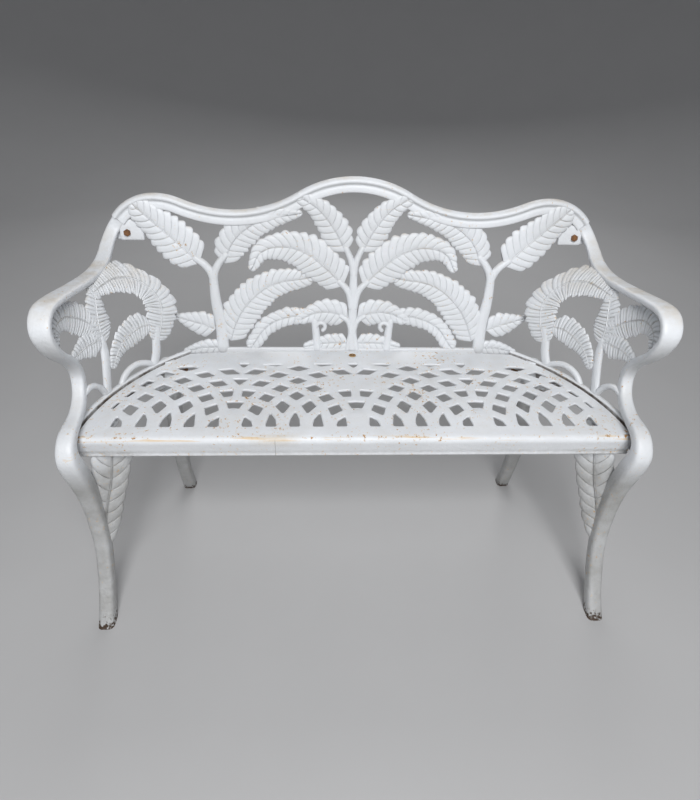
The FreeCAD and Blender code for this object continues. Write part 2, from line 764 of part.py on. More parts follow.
def under_arm(points):
    """Points of the panel's tables, whose heights are shares of the arm height."""
    return [(along, up * arm_height) for along, up in points]


def panel_prisms(faces):
    prisms = []
    for face in joined(faces).Faces:
        cutter = face.translated(V(0, -panel_cut_in, 0)).extrude(V(0, panel_cut_in + panel_cut_out, 0))
        prisms.append(cutter.transformed(side_frame.toMatrix()))
    return prisms


def fern_panel():
    leaf_slab = panel_slab(panel_thickness / 2)
    stem_slab = panel_slab(stem_thickness / 2)
    fronds = [frond(under_arm(points), *sizes) for points, *sizes in panel_fronds]
    stems = [stem(under_arm(points), *sizes) for points, *sizes in panel_stems]
    solids = [leaf_slab.common(cutter) for cutter in panel_prisms(fronds)]
    solids += [stem_slab.common(cutter) for cutter in panel_prisms(stems)]
    return solids + knee_leaf()


def seat_rail():
    radii = (side_radius - seat_rail_width / 2, side_radius + seat_rail_width / 2)
    near, far = [[side_point(radius, step) for step in (0, 0.5, 1)] for radius in radii]
    band = face_of([arc(*near), line(near[2], far[2]), arc(*far), line(far[0], near[0])])
    foot = V(0, 0, seat_height - seat_rail_drop)
    return band.translated(foot).extrude(V(0, 0, seat_rail_drop + seat_rail_rise))


def ears():
    """Ears of the seat rail under the bosses of the seat."""
    solids = []
    for place in boss_places():
        foot = place + V(0, 0, ear_top - lug_thickness)
        outward = place - side_centre
        reach = side_radius - outward.Length
        turn = FreeCAD.Rotation(V(1, 0, 0), outward)
        ear = block((-boss_diameter / 2, -boss_diameter / 2, 0), (reach, boss_diameter / 2, lug_thickness))
        solids.append(ear.transformed(FreeCAD.Placement(foot, turn).toMatrix()))
    return solids


def end_tabs():
    """Tabs of the left end behind the back's upper lug and before its lower lug."""
    far = lug_half + lug_thickness
    upper = block((-arm_bolt_x - arm_lug_half - tab_reach, lug_half, arm_bolt_height - arm_lug_half),
                  (-arm_bolt_x + arm_lug_half, far, rail_end_foot - lug_fit))
    foot = corner_bolt_height - corner_lug_half
    lower = block((-corner_bolt_x - corner_lug_half, -far, foot),
                  (-corner_bolt_x + corner_lug_half, -lug_half, corner_bolt_height + corner_lug_half))
    bridge = block((-rear_leg_x - corner_lug_half / 2, rear_leg_y - back_setback, foot),
                   (-corner_bolt_x - washer_diameter / 2 - lug_fit, -lug_half, corner_bolt_height))
    tabs = upper.fuse(lower.fuse(bridge)).cut(back_bores())
    return tabs.transformed(lean.toMatrix())


def rooms_for_back():
    """Room in the left arm for the back's lug and for the end of its top rail."""
    reach = 2 * rail_half_height
    room = block((-arm_end_gap, -reach, -reach), (reach, reach, reach))
    room = room.transformed(FreeCAD.Placement(rail_end, FreeCAD.Rotation(V(1, 0, 0), rail_inward)).toMatrix())
    return [solid.transformed(lean.toMatrix()) for solid in (room, arm_lug(-1, reach, lug_fit))]


def seat_room():
    """Room in the limbs for the seat and its rim."""
    outline = seat_outline(-side_gap, -seat_nose - side_gap, -side_gap)
    return outline.translated(V(0, 0, ear_top)).extrude(V(0, 0, seat_height - ear_top + seat_rail_rise))


def left_end_casting():
    below_floor = block((-2 * side_front_x, -seat_height, -seat_height), (0, 2 * seat_height, 0))
    arm_limb = limb(arm_stations(), arm_steps).cut(rooms_for_back())
    legs = [limb(leg_stations(front_leg, side_front_x, side_front_y), leg_steps),
            limb(leg_stations(rear_leg, rear_leg_x, rear_leg_y), leg_steps)]
    limbs = arm_limb.multiFuse(legs).cut([seat_room(), below_floor])
    body = limbs.multiFuse([seat_rail()] + ears() + [end_tabs()]).multiFuse(fern_panel())
    ear_foot = V(0, 0, ear_top - lug_thickness)
    return body.cut([bore(place + ear_foot, V(0, 0, lug_thickness)) for place in boss_places()])


# Fasteners, each from the face that its head, washer or nut bears on

def bolt(seat_face, run, length):
    shank = prism(round_flats, bolt_diameter, seat_face, run * length)
    return shank.fuse(prism(head_flat_count, head_corners, seat_face, run * -head_height))


def washer(seat_face, run):
    disc = prism(round_flats, washer_diameter, seat_face, run * washer_thickness)
    return disc.cut(bore(seat_face, run * washer_thickness))


def nut(seat_face, run):
    blank = prism(head_flat_count, head_corners, seat_face, run * nut_height)
    return blank.cut(bore(seat_face, run * nut_height, thread_clearance))


def clamp_set(place, run):
    """A bolt through a lug and a tab, with the washer and nut on the far side, on the leaned back."""
    near = place - run * lug_half
    far = place + run * (lug_half + lug_thickness)
    stack = washer_thickness + nut_height + thread_past_nut
    pieces = {
        "bolt": bolt(near, run, 2 * lug_half + lug_thickness + stack),
        "washer": washer(far, run),
        "nut": nut(far + run * washer_thickness, run)}
    return {name: piece.transformed(lean.toMatrix()) for name, piece in pieces.items()}


def seat_bolt_set(side):
    """Two bolts and washers up through the ears of one end into the seat's bosses."""
    bolts = []
    washers = []
    up = V(0, 0, 1)
    length = washer_thickness + lug_thickness + boss_height - thread_tip_gap
    for place in boss_places():
        ear_foot = V(side * place.x, place.y, ear_top - lug_thickness)
        washers.append(washer(ear_foot, up * -1))
        bolts.append(bolt(ear_foot - up * washer_thickness, up, length))
    return Part.makeCompound(bolts), Part.makeCompound(washers)


def screw_set():
    """The slotted screw at the seat's rear edge, with its washer and nut under the lug of the back."""
    down = V(0, 0, -1)
    lug_foot = V(0, screw_y, seat_height - seat_plate - lug_thickness)
    length = seat_plate + lug_thickness + washer_thickness + nut_height + thread_past_nut
    slot = block((-screw_head, screw_y - screw_slot_width / 2, seat_height - screw_slot_depth),
                 (screw_head, screw_y + screw_slot_width / 2, seat_height))
    shank = prism(round_flats, bolt_diameter, V(0, screw_y, seat_height), down * length)
    screw = shank.fuse(countersink(0)).cut(slot)
    return screw, washer(lug_foot, down), nut(lug_foot + down * washer_thickness, down)


shapes = {"seat_grille": seat_casting(), "back_panel": back_casting(), "left_end": left_end_casting()}
shapes["right_end"] = shapes["left_end"].mirror(V(0, 0, 0), V(1, 0, 0))
sets = [("left_arm_", 1), ("right_arm_", 1), ("left_corner_", -1), ("right_corner_", -1)]
for (prefix, way), place in zip(sets, bolt_places()):
    for piece_name, piece in clamp_set(place, V(0, way, 0)).items():
        shapes[prefix + piece_name] = piece
for hand, side in (("left", 1), ("right", -1)):
    shapes[hand + "_seat_bolts"], shapes[hand + "_seat_washers"] = seat_bolt_set(side)
shapes["seat_back_screw"], shapes["seat_back_washer"], shapes["seat_back_nut"] = screw_set()

# The origin is the floor point under the middle of the bench
whole = Part.makeCompound(list(shapes.values())).optimalBoundingBox()
to_middle = V(0, -(whole.YMin + whole.YMax) / 2, 0)

os.makedirs("parts", exist_ok=True)
for name, shape in shapes.items():
    solids = [solid.translated(to_middle) for solid in shape.Solids]
    Part.makeCompound(solids).exportStep("parts/" + name + ".step")
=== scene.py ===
import math

import bpy
import numpy as np
from mathutils import Matrix, Vector
from mathutils.geometry import delaunay_2d_cdt


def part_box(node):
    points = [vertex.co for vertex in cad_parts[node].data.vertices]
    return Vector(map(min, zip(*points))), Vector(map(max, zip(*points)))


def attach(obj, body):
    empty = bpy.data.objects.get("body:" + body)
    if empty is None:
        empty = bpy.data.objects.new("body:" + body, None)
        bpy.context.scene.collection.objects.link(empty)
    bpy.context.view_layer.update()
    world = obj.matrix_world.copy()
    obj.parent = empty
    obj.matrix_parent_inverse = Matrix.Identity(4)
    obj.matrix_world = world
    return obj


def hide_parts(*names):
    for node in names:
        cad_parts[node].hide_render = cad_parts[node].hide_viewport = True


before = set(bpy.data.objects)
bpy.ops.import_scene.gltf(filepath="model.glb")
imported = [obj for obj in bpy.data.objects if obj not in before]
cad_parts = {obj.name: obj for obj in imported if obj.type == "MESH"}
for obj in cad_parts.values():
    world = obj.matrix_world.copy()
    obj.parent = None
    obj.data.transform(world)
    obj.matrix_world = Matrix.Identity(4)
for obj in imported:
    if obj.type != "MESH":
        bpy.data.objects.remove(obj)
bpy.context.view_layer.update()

# A cast iron garden bench of the fern pattern, in old white paint.
# Shapes are drawn in mm about the seat: X along the bench, Y to the rear from the front line of the
# lattice, Z up from the floor, and set into the frame when a piece is finished.

MM = 0.001
seat_height = 430.0
seat_rear = 312.0
seat_nose = 40.0
screw_y = seat_rear - 22.0
lattice_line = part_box("seat_grille")[1].y / MM - seat_rear

# Side line of the seat in plan, which the seat rail and the fern panel of each end follow
side_front = np.array([-541.0, -60.0])
side_rear = np.array([-385.0, 305.0])
side_bulge = 44.0
seat_side_gap = 9.0
arm_height = 240.0
arm_line_bow = 4.0
panel_flare_power = 3

# The back leans about the line where it meets the seat
back_setback = 322.0
back_lean = math.radians(5.0)


def cad_mesh(node):
    """Points and triangles of a CAD node, in mm about the seat, with its doubles merged."""
    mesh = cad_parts[node].data
    mesh.calc_loop_triangles()
    points = np.array([vertex.co for vertex in mesh.vertices]) / MM - (0, lattice_line, 0)
    triangles = np.array([triangle.vertices for triangle in mesh.loop_triangles])
    merged, index = np.unique(points.round(3), axis=0, return_inverse=True)
    return merged, index.reshape(-1)[triangles]


# Node trees: expressions on a socket add Math nodes, and every other node comes from Nodes.add

def maths_of(operation, swapped=False):
    """A method that joins a socket and another value by one Math node."""
    def method(self, other):
        terms = (other, self) if swapped else (self, other)
        return self.maths(operation, *terms)
    return method


class Field:
    """A socket of a node tree, which can be used in expressions."""

    def __init__(self, nodes, node, socket):
        self.nodes = nodes
        self.node = node
        self.socket = socket

    def out(self, name):
        return Field(self.nodes, self.node, self.node.outputs[name])

    def maths(self, operation, *terms, clamp=False):
        settings = {"operation": operation, "use_clamp": clamp}
        return self.nodes.add("ShaderNodeMath", settings, dict(enumerate(terms)))

    __add__ = maths_of("ADD")
    __radd__ = maths_of("ADD", swapped=True)
    __sub__ = maths_of("SUBTRACT")
    __rsub__ = maths_of("SUBTRACT", swapped=True)
    __mul__ = maths_of("MULTIPLY")
    __rmul__ = maths_of("MULTIPLY", swapped=True)
    __truediv__ = maths_of("DIVIDE")
    __pow__ = maths_of("POWER")
    __lt__ = maths_of("LESS_THAN")
    __gt__ = maths_of("GREATER_THAN")
    least = maths_of("MINIMUM")
    most = maths_of("MAXIMUM")

    def __abs__(self):
        return self.maths("ABSOLUTE", self)

    def floor(self):
        return self.maths("FLOOR", self)

    def sine(self):
        return self.maths("SINE", self)

    def sign(self):
        return self.maths("SIGN", self)

    def clamped(self):
        return self.maths("ADD", self, 0.0, clamp=True)

    def between(self, low, high):
        """0 at the low value, 1 at the high one, and limited to that."""
        return self.maths("MULTIPLY", self - low, 1 / (high - low), clamp=True)


class Nodes:
    """One node tree. add() makes a node: its settings first, then the values or links of its sockets."""

    def __init__(self, tree):
        self.tree = tree

    def add(self, kind, settings=None, sockets=None):
        node = self.tree.nodes.new(kind)
        for name, value in (settings or {}).items():
            setattr(node, name, value)
        for key, value in (sockets or {}).items():
            if isinstance(value, Field):
                self.tree.links.new(value.socket, node.inputs[key])
            else:
                node.inputs[key].default_value = value
        return Field(self, node, node.outputs[0] if node.outputs else None)

    def vector(self, x, y, z):
        return self.add("ShaderNodeCombineXYZ", sockets={"X": x, "Y": y, "Z": z})

    def sum(self, first, second):
        return self.add("ShaderNodeVectorMath", {"operation": "ADD"}, {0: first, 1: second})

    def scaled(self, vector, scale):
        return self.add("ShaderNodeVectorMath", {"operation": "SCALE"}, {0: vector, "Scale": scale})


# Finishes

PAINT = (0.79, 0.815, 0.85, 1)
PAINT_AGED = (0.71, 0.73, 0.755, 1)
GRIME_AND_SHADE = (0.25, 0.24, 0.22, 1)
BEIGE_DIRT = (0.58, 0.50, 0.38, 1)
STAIN = (0.70, 0.46, 0.18, 1)
RUST = (0.46, 0.22, 0.055, 1)
STEEL_RUST = (0.27, 0.12, 0.04, 1)
PAINTED_SHADE_GREY = (0.30, 0.295, 0.28, 1)
DARK_RUST_AND_SHADE = (0.06, 0.035, 0.02, 1)
STEEL_DARK = (0.09, 0.045, 0.025, 1)
STEEL_FLAKE = (0.42, 0.2, 0.07, 1)
STEEL_EDGE = (0.55, 0.36, 0.14, 1)
STEEL_GREY = (0.40, 0.39, 0.37, 1)
STEEL_BROWN = (0.26, 0.22, 0.18, 1)
FLOOR_PALE = (0.48, 0.48, 0.485, 1)
FLOOR_PALER = (0.51, 0.51, 0.515, 1)

# Marks of the attribute "hollow", which gets grime and painted shade: a crevice is darker than any other
# hollow, with rust
CREVICE = 2.0
# Undersides, which get grime and painted shade
UNDER_HOLLOW = 0.8


class Finish:
    """A material whose shader is fed by noise on Object coordinates."""

    def __init__(self, name):
        self.material = bpy.data.materials.new(name)
        self.material.use_nodes = True
        self.nodes = Nodes(self.material.node_tree)
        self.shader = self.material.node_tree.nodes["Principled BSDF"]
        self.place = self.nodes.add("ShaderNodeTexCoord").out("Object")

    def noise(self, scale, detail=3.0, roughness=0.55, shift=0.0):
        moved = self.nodes.sum(self.place, (shift, shift, shift))
        sockets = {"Vector": moved, "Scale": scale, "Detail": detail, "Roughness": roughness}
        return self.nodes.add("ShaderNodeTexNoise", sockets=sockets)

    def cells(self, scale):
        return self.nodes.add("ShaderNodeTexVoronoi", sockets={"Vector": self.place, "Scale": scale})

    def attribute(self, name):
        return self.nodes.add("ShaderNodeAttribute", {"attribute_name": name}).out("Fac")

    def mixed(self, share, first, second):
        sockets = {0: share, 6: first, 7: second}
        return self.nodes.add("ShaderNodeMix", {"data_type": "RGBA"}, sockets).out(2)

    def feed(self, socket, value):
        if isinstance(value, Field):
            self.material.node_tree.links.new(value.socket, self.shader.inputs[socket])
        else:
            self.shader.inputs[socket].default_value = value

    def bump(self, height, depth):
        sockets = {"Height": height, "Distance": depth, "Strength": 1.0}
        self.feed("Normal", self.nodes.add("ShaderNodeBump", sockets=sockets))


def painted_iron():
    """Many coats of old white paint on cast iron: grime and painted shade in the hollows and below, dirt on
    top, rust where it chips.
    """
    finish = Finish("old_white_paint")
    nodes = finish.nodes
    parts = nodes.add("ShaderNodeSeparateXYZ", sockets={0: finish.place})
    x, y, z = (parts.out(axis) for axis in "XYZ")
    normal = nodes.add("ShaderNodeTexCoord").out("Normal")
    upward = nodes.add("ShaderNodeSeparateXYZ", sockets={0: normal}).out("Z")
    hollow = finish.attribute("hollow")
    edge = finish.attribute("edge")
    low = 1 - z.between(0.0, 0.16)
    high = z.between(0.46, 0.6)
    inside = abs(x).between(0.532, 0.528)
    nose = y.between(-0.140, -0.146) * z.between(0.380, 0.385) * inside
    seat = z.between(0.425, 0.428) * (1 - high) * upward.between(0.6, 0.9)

    broad = finish.noise(7.0)
    fine = finish.noise(90.0, 4.0)
    patches = finish.noise(26.0, 5.0, 0.6, 3.0)
    colour = finish.mixed(broad.between(0.35, 0.7), PAINT, PAINT_AGED)

    # Dirt lies on what faces up, most on the arms and the top rail, and grime and painted shade in the
    # hollows
    dirt = upward.between(0.4, 1.0) * patches.between(0.4, 0.7) * (0.12 + high * 0.55)
    colour = finish.mixed(dirt, colour, BEIGE_DIRT)
    # The hollows get grime and painted shade, and the end castings get the most painted shade
    ends = abs(x).between(0.40, 0.45)
    grime_and_shade = hollow.between(0.3, 1.0) * fine.between(0.2, 0.65) * (0.28 + ends * 0.47)
    colour = finish.mixed(grime_and_shade, colour, GRIME_AND_SHADE)
    # What faces down gets a painted shade of grey
    underside = upward.between(0.1, -0.6)
    colour = finish.mixed(underside * 0.4, colour, PAINTED_SHADE_GREY)
    # Below the seat the legs get a heavier, patchy painted shade of grey
    below = 1 - z.between(0.33, 0.40)
    colour = finish.mixed(below * (0.52 + patches.between(0.35, 0.7) * 0.3), colour, PAINTED_SHADE_GREY)
    # The crevice by the seat rail gets rust and painted shade in dark rust
    crevice = hollow.between(1.2, CREVICE) * (0.25 + patches.between(0.35, 0.6) * 0.65)
    colour = finish.mixed(crevice, colour, DARK_RUST_AND_SHADE)

    # Yellow runs along the front edge of the seat, where water stands
    drawn_out = nodes.vector(x * 9.0, y * 90.0, z * 150.0)
    runs = nodes.add("ShaderNodeTexNoise", sockets={"Vector": drawn_out, "Scale": 1.0, "Detail": 4.0})
    lip = z.between(0.4215, 0.4245) * z.between(0.4300, 0.4285)
    at_left = x.between(-0.28, -0.38)
    colour = finish.mixed((runs + at_left * 0.09).between(0.58, 0.68) * nose * lip * 0.7, colour, STAIN)

    # An old mend on the front edge: a greyish beige blotch with a fine crack down the face
    mend_place, mend_sway = -0.160, 0.006
    mend_x = x - mend_place + (broad - 0.5) * mend_sway
    blotch = abs(mend_x).between(0.052, 0.02) * nose * patches.between(0.36, 0.5) * 0.45
    colour = finish.mixed(blotch * z.between(0.405, 0.425), colour, BEIGE_DIRT)
    crack = abs(mend_x).between(0.0009, 0.0004) * nose * (1 - z.between(0.421, 0.428))
    colour = finish.mixed(crack * 0.6, colour, GRIME_AND_SHADE)

    # Rust comes through in clusters, first at edges and near the floor, each chip in a stained ring
    clusters = finish.noise(11.0, 3.0, 0.6, 9.0)
    chips = finish.noise(150.0, 4.0, 0.65, 5.0)
    reach = chips + clusters * 0.35 + edge * 0.03 + low * 0.06 + nose * 0.02 + seat * 0.037
    halo = reach.between(0.83, 0.90) * 0.65
    colour = finish.mixed(halo, colour, STAIN)
    rust = reach.between(0.895, 0.925)
    colour = finish.mixed(rust, colour, RUST)
    specks = finish.cells(210.0).between(0.085, 0.05) * patches.between(0.58, 0.63)
    colour = finish.mixed(specks * 0.7, colour, DARK_RUST_AND_SHADE)
    worn = (chips + low * 0.3 + (1 - z.between(0.0, 0.03)) * 0.3).between(0.95, 1.05)
    colour = finish.mixed(worn, colour, DARK_RUST_AND_SHADE)
    finish.feed("Base Color", colour)

    finish.feed("Roughness", 0.36 + fine * 0.16 + (rust + grime_and_shade) * 0.25)
    finish.feed("Specular IOR Level", 0.5)
    pits = finish.noise(120.0, 6.0, 0.62, 1.0)
    peel = finish.noise(420.0, 2.0, 0.5, 2.0)
    finish.bump(pits * (0.75 + below * 0.7) + peel * 0.2 - (rust + worn) * 0.35, 0.0015)
    return finish.material


def rusty_steel():
    """Bolts and screws left bare to the weather."""
    finish = Finish("rusty_steel")
    blotch = finish.noise(160.0, 5.0, 0.6)
    flake = finish.noise(700.0, 4.0, 0.6, 4.0)
    colour = finish.mixed(blotch.between(0.3, 0.7), STEEL_RUST, STEEL_DARK)
    colour = finish.mixed(flake.between(0.55, 0.7) * 0.6, colour, STEEL_FLAKE)
    colour = finish.mixed(finish.attribute("edge") * 0.75, colour, STEEL_EDGE)
    colour = finish.mixed(finish.attribute("hollow") * 0.8, colour, DARK_RUST_AND_SHADE)
    finish.feed("Base Color", colour)
    finish.feed("Roughness", 0.62 + flake * 0.3)
    finish.feed("Metallic", blotch.between(0.62, 0.75) * 0.5)
    finish.bump(flake * 0.5 + blotch, 0.0006)
    return finish.material


def dull_steel():
    """The bolts under the seat, out of the rain: grey with a little rust."""
    finish = Finish("dull_steel")
    blotch = finish.noise(120.0, 4.0, 0.6)
    colour = finish.mixed(blotch.between(0.35, 0.7), STEEL_GREY, STEEL_BROWN)
    finish.feed("Base Color", finish.mixed(blotch.between(0.62, 0.7) * 0.5, colour, RUST))
    finish.feed("Roughness", 0.55 + blotch * 0.3)
    finish.bump(blotch, 0.0004)
    return finish.material


def pale_floor():
    finish = Finish("pale_floor")
    finish.feed("Base Color", finish.mixed(finish.noise(3.0), FLOOR_PALE, FLOOR_PALER))
    finish.feed("Roughness", 0.7 + finish.noise(40.0) * 0.15)
    return finish.material


white_paint = painted_iron()
rust_finish = rusty_steel()
dull_finish = dull_steel()


# Castings: closed skins gathered into one piece

sharp_angle = math.radians(52.0)


class Casting:
    """Skins in mm about the seat, each point with its share of hollow and of edge."""

    def __init__(self):
        self.points = []
        self.faces = []
        self.hollow = []
        self.edge = []

    def add(self, points, faces, hollow=None, edge=None):
        points = np.asarray(points, float).reshape(-1, 3)
        start = len(self.points)
        blank = np.zeros(len(points))
        self.points.extend(points.tolist())
        self.faces.extend([[start + index for index in face] for face in faces])
        self.hollow.extend(blank if hollow is None else hollow)
        self.edge.extend(blank if edge is None else edge)

    def add_bent(self, bend, skin):
        """A skin whose points are first set in place by the function bend."""
        points, *rest = skin
        self.add(bend(points), *rest)

    def mirrored(self):
        other = Casting()
        points = np.array(self.points) * (-1, 1, 1)
        other.add(points, [face[::-1] for face in self.faces], self.hollow, self.edge)
        return other

    def finish(self, name, *nodes, finish=None, slot="painted_iron"):
        mesh = bpy.data.meshes.new(name)
        places = (np.array(self.points) + (0, lattice_line, 0)) * MM
        mesh.from_pydata(places.tolist(), [], self.faces)
        for label, values in (("hollow", self.hollow), ("edge", self.edge)):
            layer = mesh.attributes.new(label, "FLOAT", "POINT")
            layer.data.foreach_set("value", np.array(values, np.float32))
        mesh.materials.append(finish or white_paint)
        mesh.polygons.foreach_set("use_smooth", np.ones(len(mesh.polygons), bool))
        mesh.update()
        mesh.set_sharp_from_angle(angle=sharp_angle)
        piece = bpy.data.objects.new(name, mesh)
        bpy.context.scene.collection.objects.link(piece)
        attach(piece, "root")
        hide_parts(*nodes)


def unit(rows):
    """Rows of directions, each made one long."""
    return rows / np.linalg.norm(rows, axis=1)[:, None]


def circle(radius, around):
    """Places across and along of a round, from +X."""
    turns = np.arange(around) * math.tau / around
    return radius * np.cos(turns), radius * np.sin(turns)


def tube_faces(rows, around, closed_ends=True):
    """Faces of a skin through rings of points, and of its two flat ends."""
    faces = []
    for row in range(rows - 1):
        for step in range(around):
            after = (step + 1) % around
            low = row * around
            faces.append([low + step, low + after, low + around + after, low + around + step])
    if closed_ends:
        faces.append(list(range(around))[::-1])
        faces.append([(rows - 1) * around + step for step in range(around)])
    return faces


def superellipse(around, roundness):
    """Unit section of a limb: 1 is an ellipse, less is squarer."""
    turn = (np.arange(around) + 0.5) * 2 * np.pi / around
    across = np.sign(np.cos(turn)) * np.abs(np.cos(turn)) ** roundness
    up = np.sign(np.sin(turn)) * np.abs(np.sin(turn)) ** roundness
    return across, up


def smooth_rows(stations, steps):
    """A natural cubic line through rows of values, by the distance between their first three."""
    stations = np.asarray(stations, float)
    runs = np.linalg.norm(np.diff(stations[:, :3], axis=0), axis=1)
    places = np.concatenate([[0], np.cumsum(runs)])
    count = len(stations)
    system = np.eye(count)
    slopes = np.zeros_like(stations)
    for row in range(1, count - 1):
        system[row, row - 1:row + 2] = runs[row - 1], 2 * (runs[row - 1] + runs[row]), runs[row]
        slopes[row] = 6 * ((stations[row + 1] - stations[row]) / runs[row]
                           - (stations[row] - stations[row - 1]) / runs[row - 1])
    bends = np.linalg.solve(system, slopes)
    rows = []
    for span in range(count - 1):
        last = span == count - 2
        for step in range(steps + 1 if last else steps):
            gone = runs[span] * step / steps
            left = runs[span] - gone
            row = (bends[span] * left ** 3 + bends[span + 1] * gone ** 3) / (6 * runs[span])
            row = row + (stations[span] / runs[span] - bends[span] * runs[span] / 6) * left
            row = row + (stations[span + 1] / runs[span] - bends[span + 1] * runs[span] / 6) * gone
            rows.append(row)
    return np.array(rows)


# Fern work: one tree makes every frond and stem, flat on the plane Y = 0 with its face to the front

# Lengths are in m, and edges are shares of a frond's length or half width
FROND_AROUND = 32
ROW_GATHER = 0.75
COLUMN_GATHER = 0.9
BELLY_AT = 0.35
TIP_ROUND = 0.006
FULL_RELIEF_WIDTH = 0.016
RIB_EDGE = 0.0237
GUTTER_EDGE = 0.107
WELD = 0.00004
FERN_INPUTS = ("Leaflets", "Rows", "Pads", "Softness", "Root", "Belly", "Tip", "Thickness", "Groove",
               "Notch", "Dome", "Tilt", "Rib", "Lean", "Lift", "Squareness", "Back Relief", "Seed")


def fern_tree():
    tree = bpy.data.node_groups.new("fern_frond", "GeometryNodeTree")
    tree.interface.new_socket("Skin", in_out="OUTPUT", socket_type="NodeSocketGeometry")
    tree.interface.new_socket("Spine", in_out="INPUT", socket_type="NodeSocketGeometry")
    for name in FERN_INPUTS:
        tree.interface.new_socket(name, in_out="INPUT", socket_type="NodeSocketFloat")
    tree.interface.new_socket("Finish", in_out="INPUT", socket_type="NodeSocketMaterial")
    nodes = Nodes(tree)
    given = nodes.add("NodeGroupInput")
    size = {name: given.out(name) for name in FERN_INPUTS}
    spine = given.out("Spine")
    length = nodes.add("GeometryNodeCurveLength", sockets={"Curve": spine})

    rows = size["Leaflets"] * size["Rows"] + 1
    grid = nodes.add("GeometryNodeMeshGrid", sockets={
        "Size X": 1.0, "Size Y": 1.0, "Vertices X": rows, "Vertices Y": FROND_AROUND + 1})
    spot = nodes.add("ShaderNodeSeparateXYZ", sockets={0: nodes.add("GeometryNodeInputPosition")})
    around = spot.out("Y") + 0.5

    # Rows gather at the grooves between leaflets, columns at the midrib and the margins
    counted = (spot.out("X") + 0.5) * size["Leaflets"]
    leaflet = (counted + 0.0001).floor()
    even = counted - leaflet
    turns = size["Pads"] * math.tau
    part = even - (even * turns).sine() * ROW_GATHER / turns
    passed = leaflet + part
    across = abs(around * 4 - 2) - 1
    even_out = abs(across)
    out = even_out - (even_out * math.tau).sine() * (COLUMN_GATHER / math.tau)
    side = across.sign()
    front = around < 0.5

    # A frond runs past its spine by a half round of its tip
    whole = 1 + size["Tip"] / length
    share = passed / size["Leaflets"] * whole

    def half_width(place):
        rise = (place.between(0, BELLY_AT) * (math.pi / 2)).sine()
        fall = place.between(BELLY_AT, 1.0) ** 1.4
        past = (place - 1).most(0.0) * length / size["Tip"]
        end = (1 - past * past).clamped() ** 0.5
        width = size["Root"] + (size["Belly"] - size["Root"]) * rise + (size["Tip"] - size["Belly"]) * fall
        return width * end

    # Leaflets lean further to the tip the nearer they are to it
    lean = size["Lean"] * (0.6 + 0.4 * share.between(0, 1))
    shift = half_width(share) * lean * out ** 1.3 / length
    station = share + shift.least((whole - share) * 0.85)
    reached = station.least(1.0)
    past_tip = (station - reached) * length
    cap = (1 - (1 - (station * length / size["Root"]).clamped()) ** 2).clamped() ** 0.5
    end_round = (1 - (1 - ((whole - station) * length / TIP_ROUND).clamped()) ** 2).clamped() ** 0.5

    # Outline of the leaflets at the margin
    arch = (((1 - part) ** 1.7) * math.pi).sine().clamped() ** 0.5
    pads = part * size["Pads"]
    pad_part = pads - (pads + 0.0001).floor()
    pad = (pad_part * math.pi).sine().clamped() ** size["Softness"]
    main = (part * math.pi).sine().clamped() ** size["Softness"]
    chance = nodes.add("FunctionNodeRandomValue", {"data_type": "FLOAT"}, {
        2: -1.0, 3: 1.0, "ID": leaflet * 2 + side, "Seed": size["Seed"]}).out(1)
    outer = out ** 3
    toothed = 0.8 * (1 - arch) + 0.2 * (1 - pad)
    trim = 1 - size["Notch"] * outer * toothed + size["Notch"] * 0.35 * chance * outer * arch
    width = half_width(station) * cap * trim

    # Relief of the face: leaflets lie like shingles, parted by grooves, beside a gutter and a midrib
    off_rib = out.between(0, 0.12)
    gutter = (1 - out.between(0, RIB_EDGE) * 1.7) * (1 - out.between(RIB_EDGE, GUTTER_EDGE))
    wide = (half_width(station) / FULL_RELIEF_WIDTH).clamped()
    sunk = (0.4 * (1 - main) + 0.6 * (1 - pad)) * wide
    relief = size["Dome"] * (out * math.pi).sine() - size["Groove"] * sunk * off_rib
    relief = relief + size["Tilt"] * (pad_part - 0.5 + chance * 0.25) * off_rib + size["Rib"] * gutter
    rounded = (1 - out ** size["Squareness"]).clamped() ** 0.5
    face = (size["Thickness"] + relief * front + relief * size["Back Relief"] * (1 - front)) * rounded
    depth = face * (cap ** 0.5) * end_round * (1 - 2 * front)

    along = nodes.add("GeometryNodeSampleCurve", {"mode": "FACTOR"}, {"Curves": spine, "Factor": reached})
    tangent = along.out("Tangent")
    turn = nodes.add("ShaderNodeSeparateXYZ", sockets={0: tangent})
    sideways = nodes.vector(turn.out("Z") * -1, 0.0, turn.out("X"))
    place = nodes.sum(along.out("Position"), nodes.scaled(tangent, past_tip))
    place = nodes.sum(place, nodes.scaled(sideways, side * out * width))
    place = nodes.sum(place, nodes.vector(0.0, depth - size["Lift"] * reached * reached, 0.0))

    # The grooves and the gutter are marked hollow, for grime and painted shade
    grooved = size["Groove"] > 0.0
    hollow = (sunk * off_rib).most(gutter.maths("MULTIPLY", gutter, -1.2, clamp=True)) * grooved
    skin = grid
    for name, value in (("hollow", hollow), ("edge", out.between(0.8, 1.0))):
        skin = nodes.add("GeometryNodeStoreNamedAttribute", {"data_type": "FLOAT", "domain": "POINT"}, {
            "Geometry": skin, "Name": name, "Value": value})
    skin = nodes.add("GeometryNodeSetPosition", sockets={"Geometry": skin, "Position": place})
    skin = nodes.add("GeometryNodeMergeByDistance", sockets={"Geometry": skin, "Distance": WELD})
    skin = nodes.add("GeometryNodeRealizeInstances", sockets={"Geometry": skin})
    skin = nodes.add("GeometryNodeSetMaterial", sockets={"Geometry": skin, "Material": given.out("Finish")})
    nodes.add("NodeGroupOutput", sockets={0: skin})
    return tree


fern_work = fern_tree()
fern_sockets = {item.name: item.identifier for item in fern_work.interface.items_tree}
LENGTHS = ("Root", "Belly", "Tip", "Thickness", "Groove", "Dome", "Tilt", "Rib", "Lift")


